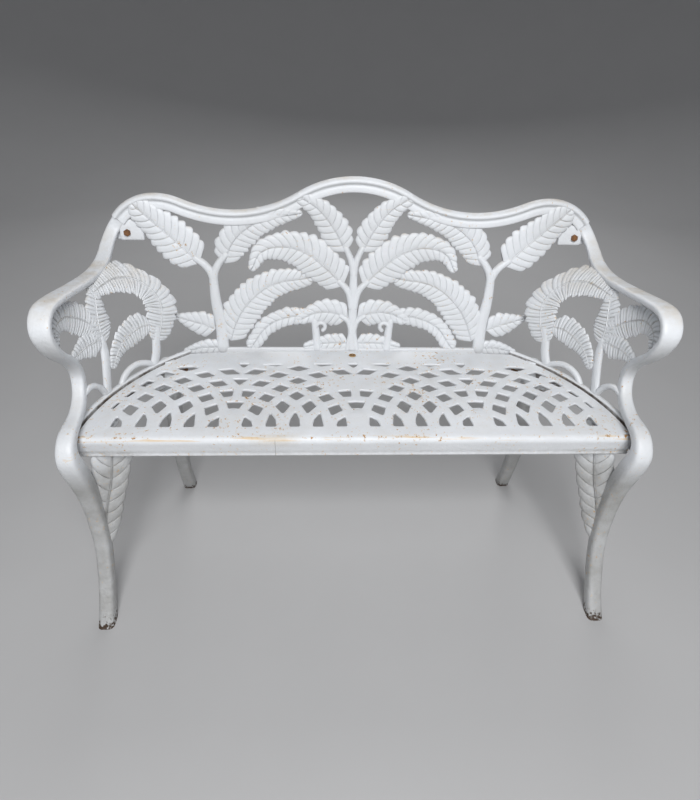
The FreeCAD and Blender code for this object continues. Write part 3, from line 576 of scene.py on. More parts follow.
def fern_skin(points, **sizes):
    """A frond or stem along a line of points (along, up): its points, faces, hollow and edge, in mm."""
    curve = bpy.data.curves.new("spine", "CURVE")
    curve.dimensions = "3D"
    spline = curve.splines.new("BEZIER")
    spline.bezier_points.add(len(points) - 1)
    for knot, (along, up) in zip(spline.bezier_points, points):
        knot.co = (along * MM, 0, up * MM)
        knot.handle_left_type = "AUTO"
        knot.handle_right_type = "AUTO"
    spline.resolution_u = 24
    holder = bpy.data.objects.new("spine", curve)
    bpy.context.scene.collection.objects.link(holder)
    modifier = holder.modifiers.new("fern", "NODES")
    modifier.node_group = fern_work
    for name in FERN_INPUTS:
        value = float(sizes[name.lower().replace(" ", "_")])
        modifier[fern_sockets[name]] = value * MM if name in LENGTHS else value
    modifier[fern_sockets["Finish"]] = white_paint
    depsgraph = bpy.context.evaluated_depsgraph_get()
    mesh = bpy.data.meshes.new_from_object(holder.evaluated_get(depsgraph), depsgraph=depsgraph)
    places = np.array([vertex.co for vertex in mesh.vertices]) / MM
    faces = [list(face.vertices) for face in mesh.polygons]
    values = [[item.value for item in mesh.attributes[name].data] for name in ("hollow", "edge")]
    bpy.data.objects.remove(holder)
    bpy.data.curves.remove(curve)
    bpy.data.meshes.remove(mesh)
    return places, faces, *values


BACK_FROND = dict(rows=8, pads=1, softness=0.3, thickness=4.6, groove=1.5, notch=0.17, dome=1.0, tilt=0.8,
                  rib=1.5, lean=0.7, squareness=7.0, back_relief=0.35)
END_FROND = dict(rows=12, pads=2, softness=0.75, thickness=3.8, groove=2.3, notch=0.18, dome=0.6, tilt=0.7,
                 rib=0.6, lean=0.2, squareness=4.0, back_relief=0.8)
KNEE_LEAF = dict(BACK_FROND, rows=12, thickness=5.0, groove=2.6, notch=0.12, dome=2.0, tilt=1.0, rib=2.2,
                 lean=1.0, back_relief=0.8)
STEM = dict(rows=8, pads=1, softness=1.0, groove=0.0, notch=0.0, dome=0.0, tilt=0.0, rib=0.0, lean=0.0,
            lift=0.0, squareness=2.6, back_relief=0.0, seed=0)


def frond_skin(style, pitch, seed, points, root, belly, tip, lift=0.0):
    """A frond with a leaflet on each side to every pitch of its length."""
    length = sum(math.dist(start, end) for start, end in zip(points, points[1:])) + tip
    sizes = dict(root=root, belly=belly, tip=tip, lift=lift, seed=seed)
    return fern_skin(points, leaflets=round(length / pitch), **sizes, **style)


def stem_skin(points, root, tip, thickness=7.5):
    return fern_skin(points, leaflets=len(points) + 1, root=root, belly=(root * 2 + tip) / 3, tip=tip,
                     thickness=thickness, **STEM)


def flipped(points):
    return [(-along, up) for along, up in points]


# Back casting

back_pitch = 16.5
back_fronds = [
    ([(-343, 205), (-382, 245), (-419, 282), (-452, 314)], 34, 48, 30, 7),
    ([(-288, 205), (-272, 245), (-242, 278), (-197, 301), (-122, 316)], 26, 38, 9, 6),
    ([(-18, 234), (-48, 288), (-80, 326), (-112, 347)], 20, 35, 16, 6),
    ([(-22, 156), (-62, 196), (-110, 232), (-165, 244), (-208, 230), (-226, 200)], 36, 46, 12, 2),
    ([(-290, 20), (-268, 76), (-232, 124), (-183, 158), (-112, 172)], 28, 44, 22, -4),
    ([(-10, 80), (-45, 92), (-85, 92), (-118, 78)], 32, 33, 16, 1),
    ([(-100, 86), (-158, 79), (-202, 57), (-235, 14)], 16, 24, 20, 0),
    ([(-322, 50), (-352, 62), (-384, 72), (-408, 80)], 24, 32, 8, 0),
    ([(-312, 4), (-352, 4), (-396, -6)], 18, 20, 8, 0),
    ([(-8, 16), (-60, 16), (-108, 8)], 28, 24, 10, 0)]

back_stems = [
    ([(-310, -12), (-309, 60), (-316, 120), (-317, 172)], 16, 10),
    ([(-315, 150), (-320, 180), (-332, 200), (-352, 216)], 10, 8),
    ([(-316, 150), (-314, 180), (-304, 202), (-286, 224)], 10, 8),
    ([(-1, 176), (-4, 206), (-18, 242)], 8, 7),
    ([(-2, 96), (-6, 124), (-14, 146), (-32, 166)], 9, 7),
    ([(-2, 34), (-5, 56), (-12, 72), (-28, 84)], 8, 6),
    ([(-3, 46), (-8, 18), (-14, -12)], 6, 8),
    ([(-84, -12), (-86, 36), (-90, 72)], 11, 8),
    ([(-88, 52), (-80, 66), (-70, 66), (-65, 56), (-70, 48)], 6, 5)]

main_stem = ([(0, -12), (0, 90), (0, 192)], 12, 9)

dip_height = 305.0
dip_place = 264.74
crest_height = 376.0
crest_radius = 230.0
corner_height = 337.0
corner_place = 427.0
corner_radius = 100.0
corner_sweep = math.radians(52.0)

# Section of the top rail: depth to the rear and height, round from its foot at the rear
rail_section = [
    (7, -14.5), (5.5, -16), (-6, -16), (-8.1, -15.2), (-8.8, -13.6), (-8.8, -10), (-8.8, -5.6), (-8.6, -4.3),
    (-8.1, -3.2), (-7.8, -1.5), (-8.1, 0.4), (-9, 1.9), (-10.4, 2.9), (-12.2, 4.6), (-13, 7), (-12.6, 9.6),
    (-11, 12.4), (-8.4, 14.6), (-5, 15.8), (0, 16), (5, 15.8), (9, 14.4), (11.6, 11.6), (12.4, 8), (11.6, 5),
    (9, 2.4), (8, -1), (8, -11)]


def leaned(points):
    """Points of the back, drawn upright about the seat top, set leaning behind the seat."""
    points = np.asarray(points, float)
    y = points[:, 1] * math.cos(back_lean) + points[:, 2] * math.sin(back_lean) + back_setback
    z = points[:, 2] * math.cos(back_lean) - points[:, 1] * math.sin(back_lean) + seat_height
    return np.column_stack([points[:, 0], y, z])


def arc_points(centre, radius, first, last, steps):
    turns = np.radians(np.linspace(first, last, steps))
    return np.column_stack([centre[0] + radius * np.sin(turns), centre[1] + radius * np.cos(turns)])


def rail_line():
    """Middle line of the top rail, from its left end: tangent arcs for corners, dips and crest."""
    crest_drop = crest_height - dip_height
    crest_sum = (dip_place ** 2 + crest_drop ** 2) / (2 * crest_drop)
    dip_radius = crest_sum - crest_radius
    corner_drop = corner_height - dip_height
    corner_run = corner_place - dip_place
    corner_sum = (corner_run ** 2 + corner_drop ** 2) / (2 * corner_drop)
    shoulder_radius = corner_sum - dip_radius
    crest_turn = math.degrees(math.asin(dip_place / crest_sum))
    shoulder_turn = math.degrees(math.asin(corner_run / corner_sum))
    sweep = math.degrees(corner_sweep)
    left = [
        arc_points((-corner_place, corner_height - corner_radius), corner_radius, -sweep, 0, 13),
        arc_points((-corner_place, corner_height - shoulder_radius), shoulder_radius, 0, shoulder_turn, 9),
        arc_points((-dip_place, dip_height + dip_radius), dip_radius,
                   180 + shoulder_turn, 180 - crest_turn, 19),
        arc_points((0, crest_height - crest_radius), crest_radius, -crest_turn, 0, 13)]
    half = np.concatenate([left[0]] + [part[1:] for part in left[1:]])
    return np.concatenate([half, (half * (-1, 1))[-2::-1]])


def swept(line, section):
    """A section (depth, height) carried along an upright line, kept square to it."""
    steps = unit(np.gradient(line, axis=0))
    rows = []
    for (along, up), (run, rise) in zip(line, steps):
        rows.append([(along - rise * height, depth, up + run * height) for depth, height in section])
    return np.array(rows).reshape(-1, 3)


def soft_block(low, high, radius, turn=None):
    """A cast lug: a block whose corners are rounded all round."""
    low, high = np.array(low, float), np.array(high, float)
    centre, half = (low + high) / 2, (high - low) / 2
    around = 28
    straight, curved = 0.78, 0.22
    across, up = superellipse(around, 0.32)
    rows = []
    for level in (-1, -0.94, -straight, straight, 0.94, 1):
        past = max(0, (abs(level) - straight) / curved)
        shrink = radius * (1 - math.sqrt(max(0, 1 - past ** 2)))
        rows.append(np.column_stack([across * (half[0] - shrink), up * (half[1] - shrink),
                                     np.full(around, level * half[2])]))
    points = np.concatenate(rows)
    if turn is not None:
        points = points @ np.array(turn).T
    return points + centre, tube_faces(len(rows), around)


# Bolts of the back, as drawn upright, the lugs round them and the height of the top rail's ends
arm_bolt_x = 490.8
arm_bolt_height = 271.6
arm_lug_half = 17.0
arm_lug_inner = 34.0
corner_bolt_x = 404.8
corner_bolt_height = -47.0
corner_lug_half = 19.0
lug_half_depth = 5.0
end_lug_depth = 8.0
rail_end_height = 298.6

# Two bars at the foot of the back, by their reach to each side and their top, and the lug under the seat
foot_bar_low = -22.0
foot_bar_top = -13.0
foot_bars = ((corner_bolt_x, foot_bar_top), (325, 3))
seat_lug_half = 22.0


def back_casting():
    casting = Casting()
    seed = 0
    for points, *sizes in back_fronds:
        for line in (points, flipped(points)):
            seed += 1
            casting.add_bent(leaned, frond_skin(BACK_FROND, back_pitch, seed, line, *sizes))
    for points, root, tip in back_stems:
        for line in (points, flipped(points)):
            casting.add_bent(leaned, stem_skin(line, root, tip))
    casting.add_bent(leaned, stem_skin(*main_stem))

    line = rail_line()
    casting.add(leaned(swept(line, rail_section)), tube_faces(len(line), len(rail_section)))

    for reach, top in foot_bars:
        casting.add_bent(leaned, soft_block((-reach, -6, foot_bar_low), (reach, 6, top), 2.5))
    for side in (-1, 1):
        ends = sorted((side * (arm_bolt_x - arm_lug_inner), side * (arm_bolt_x + arm_lug_half)))
        low = (ends[0], -lug_half_depth, arm_bolt_height - arm_lug_half)
        casting.add_bent(leaned, soft_block(low, (ends[1], lug_half_depth, rail_end_height), 2))
        lug_x = side * corner_bolt_x
        low = (lug_x - corner_lug_half, -lug_half_depth, corner_bolt_height - corner_lug_half)
        high = (lug_x + corner_lug_half, lug_half_depth, foot_bar_top)
        casting.add_bent(leaned, soft_block(low, high, 2))
    low = (-seat_lug_half, screw_y - seat_lug_half, seat_height - 16)
    casting.add(*soft_block(low, (seat_lug_half, back_setback + 4, seat_height - 8), 1.5))
    casting.finish("fern_back", "back_panel")


# End castings

chord = side_rear - side_front
chord_length = np.linalg.norm(chord)
chord_along = chord / chord_length
chord_out = np.array([-chord_along[1], chord_along[0]])
side_radius = (chord_length ** 2 / 4 + side_bulge ** 2) / (2 * side_bulge)
side_centre = (side_front + side_rear) / 2 - chord_out * (side_radius - side_bulge)
side_half_turn = math.asin(chord_length / 2 / side_radius)
rear_leg_y = seat_rear - 53.0


def side_line(radius, share):
    """Points of the side line in plan, from its front end, share 0, to its rear end, share 1."""
    turn = (2 * np.asarray(share, float)[..., None] - 1) * side_half_turn
    return side_centre + radius * (np.cos(turn) * chord_out + np.sin(turn) * chord_along)


def side_x_at(radius, depth):
    return side_centre[0] - np.sqrt(radius ** 2 - (np.asarray(depth) - side_centre[1]) ** 2)


def panel_place(share, height):
    """Plan of the fern panel: the seat's side line below, flaring late to the arm line above."""
    low = side_line(side_radius, share)
    bow = 4 * arm_line_bow * share * (1 - share)
    high = np.column_stack([side_front[0] - bow, side_front[1] + share * (side_rear[1] - side_front[1])])
    flare = (np.clip(height / arm_height, 0, 1.05) ** panel_flare_power)[:, None]
    return low * (1 - flare) + high * flare


def on_panel(points):
    """Fern work drawn flat (along the chord, out, up from the seat top), bent on to the panel."""
    points = np.asarray(points, float)
    height = points[:, 2]
    share = points[:, 0] / chord_length
    for _ in range(6):
        reached = (panel_place(share, height) - side_front) @ chord_along
        share = share + (points[:, 0] - reached) / chord_length
    step = 0.01
    here = panel_place(share, height)
    ahead = (panel_place(share + step, height) - here) / step
    above = panel_place(share, height + 1.0) - here
    rise = ahead[:, 1] * above[:, 0] - ahead[:, 0] * above[:, 1]
    normal = unit(np.column_stack([-ahead[:, 1], ahead[:, 0], rise]))
    return np.column_stack([here, seat_height + height]) + normal * points[:, 1:2]


front_leg = [
    (-11, -16, 0.07, 38, 37), (-11, 6, 0.22, 37, 38), (-10, 22, 0.45, 34, 34), (-9, 15, 0.66, 31, 32),
    (-9, -16, 0.85, 31, 31), (-10, -50, 0.98, 33, 34), (-11, -74, 1.06, 38, 38)]

rear_leg = [
    (-1, 7, 0.0, 30, 34), (-1, 0, 0.14, 36, 40), (1, -2, 0.35, 36, 40), (6, 13, 0.66, 33, 36),
    (10, 41, 0.87, 31, 31), (13, 75, 1.06, 34, 33)]

arm_scroll = [
    (-11, -19, -11, 36, 34), (-11, -11, 8, 33, 29), (-9, 8, 16.5, 31, 26), (-6, 40, 19, 27, 22),
    (-3, 79, 26, 25, 23), (0, 110, 45, 25, 23), (1, 122, 76, 25, 21), (-1, 106, 113, 26, 18),
    (-3, 65, 150, 30, 16), (-5, 36, 184, 34, 15), (-4, 29, 215, 37, 15), (-4, 46, 238.6, 38, 15),
    (-4, 84, 243.4, 38, 15), (-3, 140, 236, 36, 15)]

arm_rear = [(-4, -148, 224, 34, 15), (-6, -82, 222, 32, 15), (-8, -32, 233, 30, 15), (-10, 2, 253, 28, 15)]

# The arm ends in the end of the top rail, with this width and thickness
arm_end_section = (27, 15)

# Rows of points from one station of a limb to the next, and how round its section is
limb_steps = 8
leg_roundness = 0.62
arm_roundness = 0.56

end_pitch = 14.5
panel_fronds = [
    ([(322, 56), (346, 98), (359, 145), (341, 184), (300, 202), (255, 205), (215, 204)], 26, 38, 12),
    ([(318, 99), (285, 103), (250, 95), (221, 79), (204, 60)], 22, 32, 14),
    ([(190, 108), (190, 140), (200, 172), (218, 204)], 20, 37, 16),
    ([(188, 135), (166, 164), (132, 190), (98, 202), (71, 192), (63, 170)], 17, 31, 15),
    ([(188, 120), (160, 124), (136, 126), (113, 124)], 20, 29, 15)]

panel_stems = [
    ([(303, -4), (317, 30), (325, 66), (331, 84)], 11, 9),
    ([(168, -4), (180, 45), (189, 90), (190, 120)], 11, 9),
    ([(168, 2), (148, 32), (126, 44), (98, 40)], 7, 6),
    ([(208, -4), (228, 17), (258, 25), (285, 18), (306, 4)], 7, 7)]

# Stems of the panel lie a little behind the fronds that they carry
stem_set_back = (0, 2.0, 0)
panel_stem_thickness = 6.0

# The leaf that braces the front leg, drawn from its root, which is set in from the side line and turned
knee_frond = ([(5, -282), (14, -215), (28, -165), (42, -122), (54, -70)], 8, 33, 40)
knee_pitch = 30.0
knee_root = side_front + (10, 22)
knee_turn = math.radians(30.0)


def on_knee(points):
    points = np.asarray(points, float)
    x = points[:, 0] * math.cos(knee_turn) - points[:, 1] * math.sin(knee_turn) + knee_root[0]
    y = points[:, 0] * math.sin(knee_turn) + points[:, 1] * math.cos(knee_turn) + knee_root[1]
    return np.column_stack([x, y, points[:, 2] + seat_height])


def stopped_at_floor(rings):
    """Rings of a leg with what lies under the floor cut off, along the leg's own run."""
    kept = [ring.copy() for ring in rings]
    for row in range(1, len(rings)):
        for spot in range(len(rings[row])):
            above, below = rings[row - 1][spot], rings[row][spot]
            if below[2] < 0 and above[2] > 0:
                kept[row][spot] = above + (below - above) * above[2] / (above[2] - below[2])
            elif below[2] < 0:
                kept[row][spot] = kept[row - 1][spot]
    last = next(row for row, ring in enumerate(kept) if ring[:, 2].max() < 0.001)
    return kept[:last + 1]


def limb(stations, steps, roundness, floor=False):
    """A cast limb through its stations (place, width, thickness), its width kept level."""
    around = 28
    rows = smooth_rows(stations, steps)
    centres = rows[:, :3]
    tangents = unit(np.gradient(centres, axis=0))
    across, up = superellipse(around, roundness)
    rings = []
    for centre, tangent, (width, thickness) in zip(centres, tangents, rows[:, 3:]):
        level = np.array([1, 0, 0]) - tangent * tangent[0]
        level = level / np.linalg.norm(level)
        deep = np.cross(tangent, level)
        rings.append(centre + np.outer(across * width / 2, level) + np.outer(up * thickness / 2, deep))
    if floor:
        rings = stopped_at_floor(rings)
    return np.concatenate(rings), tube_faces(len(rings), around)


def seat_rail():
    """The band of each end that the seat lies against."""
    shares = np.linspace(0, 1, 41)
    section = [(-6, -34), (-4.5, -36), (4.5, -36), (6, -34), (6, 2), (5, 4.6), (2.5, 6), (-2.5, 6),
               (-5, 4.6), (-6, 2)]
    rows = []
    for share in shares:
        rows.append([(*side_line(side_radius + out, share), seat_height + up) for out, up in section])
    # The rail's inner face is marked as a crevice, for rust and painted shade
    inner = min(out for out, up in section)
    crevice = [CREVICE if out == inner else 0.0 for out, up in section] * len(shares)
    return np.array(rows).reshape(-1, 3), tube_faces(len(shares), len(section)), crevice


seat_side_radius = side_radius - seat_side_gap
ear_thickness = 8.0
ear_half_length = 24.0
ear_shift = 11.0
ear_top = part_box("left_seat_washers")[1].z / MM + ear_thickness
boss_radius = 13.0
boss_inset = 26.0
boss_shares = np.array([0.28, 0.70])


def boss_places():
    """Plan of the seat's two bosses on the left, over the ears of the end."""
    return side_line(seat_side_radius - boss_inset, boss_shares)


def leg_stations(x, y, table):
    """Stations of a leg whose table gives out, back, share of the way down, width and thickness."""
    return [(x - out, y + back, seat_height * (1 - share), width, thick)
            for out, back, share, width, thick in table]


def left_end_casting():
    casting = Casting()
    leg = leg_stations(side_x_at(side_radius, rear_leg_y), rear_leg_y, rear_leg)
    casting.add(*limb(leg, limb_steps, leg_roundness, floor=True))

    arm = []
    for table, start in ((arm_scroll, side_front[1]), (arm_rear, back_setback)):
        arm += [(side_front[0] - out, start + back, seat_height + height, width, thick)
                for out, back, height, width, thick in table]
    rail_end = rail_line()[0]
    inward = np.array([math.cos(corner_sweep), math.sin(corner_sweep)])
    for short in (20.0, 0.8):
        along, up = rail_end - inward * short
        arm.append((*leaned([(along, 0, up)])[0], *arm_end_section))
    leg = leg_stations(*side_front, front_leg)
    casting.add(*limb(arm[::-1] + leg, limb_steps, arm_roundness, floor=True))
    casting.add(*seat_rail())
    for place in boss_places():
        outward = (place - side_centre) / np.linalg.norm(place - side_centre)
        turn = [(outward[0], -outward[1], 0), (outward[1], outward[0], 0), (0, 0, 1)]
        half = np.array([ear_half_length, boss_radius, ear_thickness / 2])
        points, faces = soft_block(-half, half, 1.5, turn)
        casting.add(points + (*(place + outward * ear_shift), ear_top - ear_thickness / 2), faces)

    # Lugs against those of the back, behind them at the arm and before them at the corner, with its web
    bottom = corner_bolt_height - corner_lug_half
    front = -lug_half_depth - end_lug_depth
    lugs = [
        ((-arm_bolt_x - 29, lug_half_depth, arm_bolt_height - arm_lug_half),
         (-arm_bolt_x + arm_lug_half, lug_half_depth + end_lug_depth, rail_end_height - 10.4)),
        ((-corner_bolt_x - corner_lug_half, front, bottom),
         (-corner_bolt_x + corner_lug_half, -lug_half_depth, corner_bolt_height + corner_lug_half)),
        ((-corner_bolt_x - 34, -60, bottom), (-corner_bolt_x - 10.5, -lug_half_depth, corner_bolt_height))]
    for low, high in lugs:
        casting.add_bent(leaned, soft_block(low, high, 2))

    seed = 40
    for points, *sizes in panel_fronds:
        seed += 1
        casting.add_bent(on_panel, frond_skin(END_FROND, end_pitch, seed, points, *sizes))
    casting.add_bent(on_knee, frond_skin(KNEE_LEAF, knee_pitch, seed, *knee_frond))
    for points, root, tip in panel_stems:
        skin, *rest = stem_skin(points, root, tip, panel_stem_thickness)
        casting.add(on_panel(skin + stem_set_back), *rest)
    return casting


# Seat casting

# Edges of the seat as rows: in from the outline and down from the top. The front has a rounded nose over
# a flat face that ends in a bead, the sides and the rear a short rim. The holes have a rounded lip, below
# which they widen.
front_rows = [
    (11, 0), (8.2, -0.4), (5.5, -1.5), (3.2, -3.2), (1.5, -5.5), (0.4, -8.2), (0, -11), (0.8, -16),
    (2.4, -25), (4, -34), (4.8, -38.5), (4.5, -40.2), (3.9, -41.6), (3.9, -43.4), (5, -44.7), (7, -45),
    (14, -45), (15.6, -44.4), (16.4, -42), (18, -8)]
side_rows = [
    (2.2, 0), (1.6, -0.05), (1.1, -0.2), (0.65, -0.5), (0.3, -0.95), (0.08, -1.5), (0, -2.2), (0, -4),
    (0, -6), (0, -9), (0, -11), (0, -13), (0, -15), (0.1, -16.2), (0.4, -17.1), (1.2, -17.8), (6.5, -18),
    (7.5, -17.6), (8, -16.5), (8, -8)]
hole_rows = [(2.2, 0), (1.6, -0.08), (1, -0.5), (0.4, -1.1), (0, -1.9), (0, -3.6), (1.3, -5.8), (3.2, -8)]
hole_corner_radius = 2.6
rear_bow = 16.0
corner_setback = 30.0
front_count = 27


def seat_loops():
    """Loops of corners round the seat's top face, as the CAD seat has them: outline and holes."""
    points, triangles = cad_mesh("seat_grille")
    top = triangles[(points[triangles][:, :, 2] > seat_height - 0.01).all(axis=1)]
    edges = {}
    for triangle in top:
        for first, second in zip(triangle, np.roll(triangle, -1)):
            edges[(first, second)] = True
    border = {first: second for first, second in edges if (second, first) not in edges}
    loops = []
    while border:
        start, at = border.popitem()
        loop = [start]
        while at != start:
            loop.append(at)
            at = border.pop(at)
        loops.append(points[loop][:, :2])
    return loops


def loop_area(loop):
    ahead = np.roll(loop, -1, axis=0)
    return 0.5 * abs(np.sum(loop[:, 0] * ahead[:, 1] - loop[:, 1] * ahead[:, 0]))


def corners_of(loop):
    """A loop without the points that lie on a straight run."""
    before = loop - np.roll(loop, 1, axis=0)
    after = np.roll(loop, -1, axis=0) - loop
    cross = before[:, 0] * after[:, 1] - before[:, 1] * after[:, 0]
    scale = np.linalg.norm(before, axis=1) * np.linalg.norm(after, axis=1)
    return loop[np.abs(cross) > 0.02 * scale]


def blunted(loop, along_side=9.0, along_base=2.5, near=0.5, least=0.25):
    """A hole of the front row with its two lower corners cut off straight; any other hole as it is."""
    base = np.flatnonzero(loop[:, 1] < near)
    if len(base) < 2:
        return loop
    corners = base[[loop[base, 0].argmin(), loop[base, 0].argmax()]]
    middle = loop[corners, 0].mean()
    runs = np.linalg.norm(np.roll(loop, -1, axis=0) - loop, axis=1)
    places = np.concatenate([[0], np.cumsum(runs)])
    whole = places[-1]
    closed = np.vstack([loop, loop[:1]])
    kept = [(places[spot], point) for spot, point in enumerate(loop) if spot not in corners]
    for corner in corners:
        here = loop[corner]
        ahead = loop[(corner + 1) % len(loop)]
        behind = loop[corner - 1]
        base_is_ahead = abs(ahead[1] - here[1]) < near and abs(ahead[0] - middle) < abs(here[0] - middle)
        side = (behind if base_is_ahead else ahead) - here
        steep = side[1] / np.linalg.norm(side)
        side_cut = along_side * max(least, steep ** 3)
        forward, backward = (along_base, side_cut) if base_is_ahead else (side_cut, along_base)
        kept = [item for item in kept if (item[0] - places[corner]) % whole > forward
                and (places[corner] - item[0]) % whole > backward]
        for place in ((places[corner] + forward) % whole, (places[corner] - backward) % whole):
            kept.append((place, [np.interp(place, places, closed[:, axis]) for axis in (0, 1)]))
    return np.array([point for place, point in sorted(kept, key=lambda item: item[0])])


def rounded_loop(corners, radius):
    """A loop whose corners are eased by short curves, longer ones where they are sharp."""
    points = []
    sharp_gain, most_share = 2.2, 0.4
    for before, here, after in zip(np.roll(corners, 1, axis=0), corners, np.roll(corners, -1, axis=0)):
        back, ahead = before - here, after - here
        sides = np.linalg.norm(back), np.linalg.norm(ahead)
        sharpness = max(0.0, np.dot(back, ahead) / (sides[0] * sides[1]))
        reach = min(radius * (1 + sharp_gain * sharpness), most_share * min(sides))
        start = here + back / sides[0] * reach
        end = here + ahead / sides[1] * reach
        for share in (0, 0.33, 0.67, 1):
            points.append(start * (1 - share) ** 2 + here * 2 * share * (1 - share) + end * share ** 2)
    return np.array(points)


def loop_normals(loop):
    """Directions square to a loop, to the right of its run."""
    run = unit(np.roll(loop, -1, axis=0) - np.roll(loop, 1, axis=0))
    return np.column_stack([run[:, 1], -run[:, 0]])


def seat_outline():
    """The seat's outline, against the clock from its right front corner, and which points are its front."""
    depths = np.linspace(-seat_nose + corner_setback, seat_rear - rear_bow, 24)
    left = np.column_stack([side_x_at(seat_side_radius, depths), depths])
    rear_radius = (left[-1][0] ** 2 + rear_bow ** 2) / (2 * rear_bow)
    across = np.linspace(left[-1][0], -left[-1][0], 33)[1:-1]
    rear = np.column_stack([across, seat_rear - rear_radius + np.sqrt(rear_radius ** 2 - across ** 2)])
    around = np.concatenate([left, rear, (left * (-1, 1))[::-1]])[::-1]
    corner_x = side_x_at(seat_side_radius, -seat_nose)
    across = np.linspace(corner_x, -corner_x, front_count)
    front = np.column_stack([across, np.full(front_count, -seat_nose)])
    return np.concatenate([around, front]), np.arange(len(around) + front_count) >= len(around)


def outline_rows(outline, is_front):
    """Rows of points round the edge of the seat, whose front corners are mitred."""
    inward = -loop_normals(outline)
    rows = []
    for (front_in, front_down), (side_in, side_down) in zip(front_rows, side_rows):
        offset = inward * side_in
        offset[is_front] = (0, front_in)
        for corner in np.flatnonzero(is_front)[[0, -1]]:
            offset[corner, 0] = -np.sign(outline[corner, 0]) * side_in
        heights = np.where(is_front, front_down, side_down)
        rows.append(np.column_stack([outline + offset, seat_height + heights]))
    return rows


def hole_edge_rows(ring, others):
    """Rows of points round one hole, kept narrow where other edges are near and in sharp wedges."""
    room = np.array([np.linalg.norm(others - spot, axis=1).min() for spot in ring])
    full_room = 3 * hole_rows[0][0]
    wedge_share = 0.3
    room = np.minimum(1, room / full_room)
    back, ahead = ring - np.roll(ring, 1, axis=0), np.roll(ring, -1, axis=0) - ring
    wedge = back[:, 0] * ahead[:, 1] - back[:, 1] * ahead[:, 0] > 0.01
    room[wedge | np.roll(wedge, 1) | np.roll(wedge, -1)] *= wedge_share
    inward = -loop_normals(ring) * room[:, None]
    return [np.column_stack([ring + inward * into, np.full(len(ring), seat_height + down)])
            for into, down in hole_rows]


def seat_casting():
    casting = Casting()
    loops = [corners_of(loop) for loop in seat_loops()]
    largest = max(loop_area(loop) for loop in loops)
    holes = [rounded_loop(blunted(loop), hole_corner_radius) for loop in loops if loop_area(loop) < largest]
    outline, is_front = seat_outline()
    rings = [outline] + holes
    every = np.concatenate(rings)
    owner = np.concatenate([np.full(len(ring), number) for number, ring in enumerate(rings)])
    points = []
    faces = []
    edge = []
    hollow = []
    flat_points = []
    flat_edges = []
    ring_of = []
    for number, ring in enumerate(rings):
        count = len(ring)
        if number == 0:
            rows = outline_rows(outline, is_front)
        else:
            rows = hole_edge_rows(ring, every[owner != number])
        start = len(points)
        for level, row in enumerate(rows):
            points.extend(row.tolist())
            edge.extend([1.0 if 0 < level < 5 else 0.3] * count)
            # Under the nose, down the holes' walls and along the side crevice, the hollow mark sets grime,
            # rust and painted shade
            if number == 0:
                at_front = UNDER_HOLLOW if level > 8 else 0.0
                at_side = CREVICE if level > 4 else 0.0
                hollow.extend(np.where(is_front, at_front, at_side))
            else:
                hollow.extend([UNDER_HOLLOW if level > 6 else 0.0] * count)
        for face in tube_faces(len(rows), count, closed_ends=False):
            faces.append([start + index for index in face[::-1]])
        for step in range(count):
            flat_edges.append((len(flat_points) + step, len(flat_points) + (step + 1) % count))
        for step in range(count):
            flat_points.append(Vector(rows[0][step][:2]))
            ring_of.append((number, start + step, start + (len(rows) - 1) * count + step))
    _, _, triangles, origins, _, _ = delaunay_2d_cdt(flat_points, flat_edges, [], 1, 0.0001)
    for triangle in triangles:
        marks = [ring_of[origins[index][0]] for index in triangle]
        numbers = {mark[0] for mark in marks}
        if len(numbers) == 1 and numbers != {0}:
            continue
        faces.append([mark[1] for mark in marks])
        faces.append([mark[2] for mark in marks][::-1])
    casting.add(points, faces, hollow, edge)

    around = 24
    x, y = circle(boss_radius, around)
    for place in boss_places():
        for side in (1, -1):
            rows = [np.column_stack([side * place[0] + x, place[1] + y, np.full(around, height)])
                    for height in (ear_top, seat_height - 7)]
            casting.add(np.concatenate(rows), tube_faces(2, around))
    casting.finish("lattice_seat", "seat_grille")


def seat_screw():
    """The slotted screw at the rear of the seat, as rings from the middle of its head to its foot."""
    around = 64
    head_radius, head_rise = 8.3, 0.7
    slot_half, slot_slope, slot_depth = 1.25, 0.5, 1.6
    worn_inside, dirt_inside, worn_outside = 3.0, 4.0, 5.8
    radii = np.linspace(0.3, 7.6, 14)
    head = [(radius, head_rise * (1 - (radius / head_radius) ** 2)) for radius in radii]
    profile = head + [(8.2, -0.1), (head_radius, -0.6), (4.2, -4.6), (4, -8), (4, -26)]
    rows = []
    hollow = []
    edge = []
    for radius, height in profile:
        x, y = circle(radius, around)
        slot = np.clip((slot_half - np.abs(y)) / slot_slope, 0, 1) if height > -0.5 else np.zeros(around)
        rows.append(np.column_stack([x, y + screw_y, seat_height + height - slot_depth * slot]))
        hollow.extend(np.maximum(slot, dirt_inside < radius < worn_outside))
        worn = radius > worn_outside or radius < worn_inside
        edge.extend(np.full(around, float(worn)) * (1 - slot))
    casting = Casting()
    faces = [face[::-1] for face in tube_faces(len(rows), around)]
    casting.add(np.concatenate(rows), faces, hollow, edge)
    casting.finish("slotted_screw", "seat_back_screw", finish=rust_finish, slot="rusty_steel")


back_casting()
left_end = left_end_casting()
left_end.finish("left_fern_end", "left_end")
left_end.mirrored().finish("right_fern_end", "right_end")
seat_casting()
seat_screw()

dressed = ("back_panel", "seat_grille", "left_end", "right_end", "seat_back_screw")
for name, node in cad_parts.items():
    if name not in dressed:
        node.data.materials.clear()
        node.data.materials.append(dull_finish if "_seat_" in name else rust_finish)


# Floor, light and camera

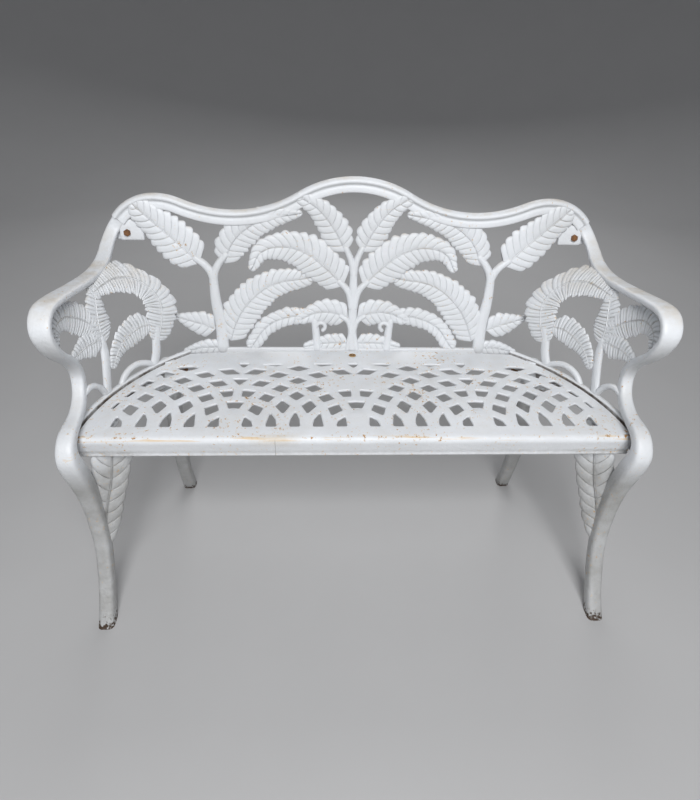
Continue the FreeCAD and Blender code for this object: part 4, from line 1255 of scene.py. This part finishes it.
def floor():
    """A flat round floor whose far rim turns up, so that it fills the picture behind the bench."""
    around = 96
    flat_reach, rim_run, rim_rise = 3.6, 4.4, 4.5
    profile = [(0.5, 0), (2, 0), (flat_reach, 0)]
    profile += [(flat_reach + rim_run * step, rim_rise * step ** 2) for step in np.linspace(0.05, 1, 16)]
    rows = [np.column_stack([*circle(reach, around), np.full(around, rise)]) for reach, rise in profile]
    faces = [face[::-1] for face in tube_faces(len(rows), around, closed_ends=False)] + [list(range(around))]
    mesh = bpy.data.meshes.new("floor")
    mesh.from_pydata(np.concatenate(rows).tolist(), [], faces)
    mesh.polygons.foreach_set("use_smooth", np.ones(len(mesh.polygons), bool))
    mesh.materials.append(pale_floor())
    piece = bpy.data.objects.new("floor", mesh)
    bpy.context.scene.collection.objects.link(piece)


lamp_aim = Vector((0, 0, 0.45))
sky_colour = (0.93, 0.95, 1.0, 1)
sky_strength = 0.13


def soft_lamp(name, place, size, power):
    lamp = bpy.data.lights.new(name, "AREA")
    lamp.size = size
    lamp.energy = power
    holder = bpy.data.objects.new(name, lamp)
    holder.location = place
    holder.rotation_euler = (lamp_aim - Vector(place)).to_track_quat("-Z", "Y").to_euler()
    bpy.context.scene.collection.objects.link(holder)


def studio():
    floor()
    soft_lamp("key_lamp", (0.1, -2.2, 2.3), 1.2, 78)
    soft_lamp("fill_lamp", (-2.2, -1.8, 1.7), 2.0, 3)
    soft_lamp("rear_lamp", (0.3, 3.0, 2.8), 2.6, 48)
    world = bpy.data.worlds.new("studio")
    world.use_nodes = True
    sky = world.node_tree.nodes["Background"]
    sky.inputs["Color"].default_value = sky_colour
    sky.inputs["Strength"].default_value = sky_strength
    bpy.context.scene.world = world
    bpy.context.scene.view_settings.view_transform = "Standard"


camera_place = (-65.27, -899.41, 1072.85)
camera_pitch = math.radians(32.892)
camera_yaw = math.radians(3.014)
camera_roll = math.radians(-1.594)
# Focal length over the picture's height
camera_focus = 566.66 / 800


def camera():
    """The photograph's viewpoint: down by its pitch, turned by its yaw and tipped by its roll."""
    def turned(x, y, z):
        x, y = (x * math.cos(camera_roll) - y * math.sin(camera_roll),
                x * math.sin(camera_roll) + y * math.cos(camera_roll))
        ahead = z * math.cos(camera_pitch) - y * math.sin(camera_pitch)
        up = -z * math.sin(camera_pitch) - y * math.cos(camera_pitch)
        return Vector((math.cos(camera_yaw) * x + math.sin(camera_yaw) * ahead,
                       math.cos(camera_yaw) * ahead - math.sin(camera_yaw) * x, up))

    view = bpy.data.cameras.new("camera")
    view.sensor_width = 36.0
    view.lens = camera_focus * view.sensor_width
    holder = bpy.data.objects.new("camera", view)
    axes = [turned(1, 0, 0), turned(0, -1, 0), turned(0, 0, -1)]
    place = Vector((camera_place[0], camera_place[1] + lattice_line, camera_place[2])) * MM
    holder.matrix_world = Matrix.Translation(place) @ Matrix(axes).transposed().to_4x4()
    bpy.context.scene.collection.objects.link(holder)
    bpy.context.scene.camera = holder


studio()
camera()
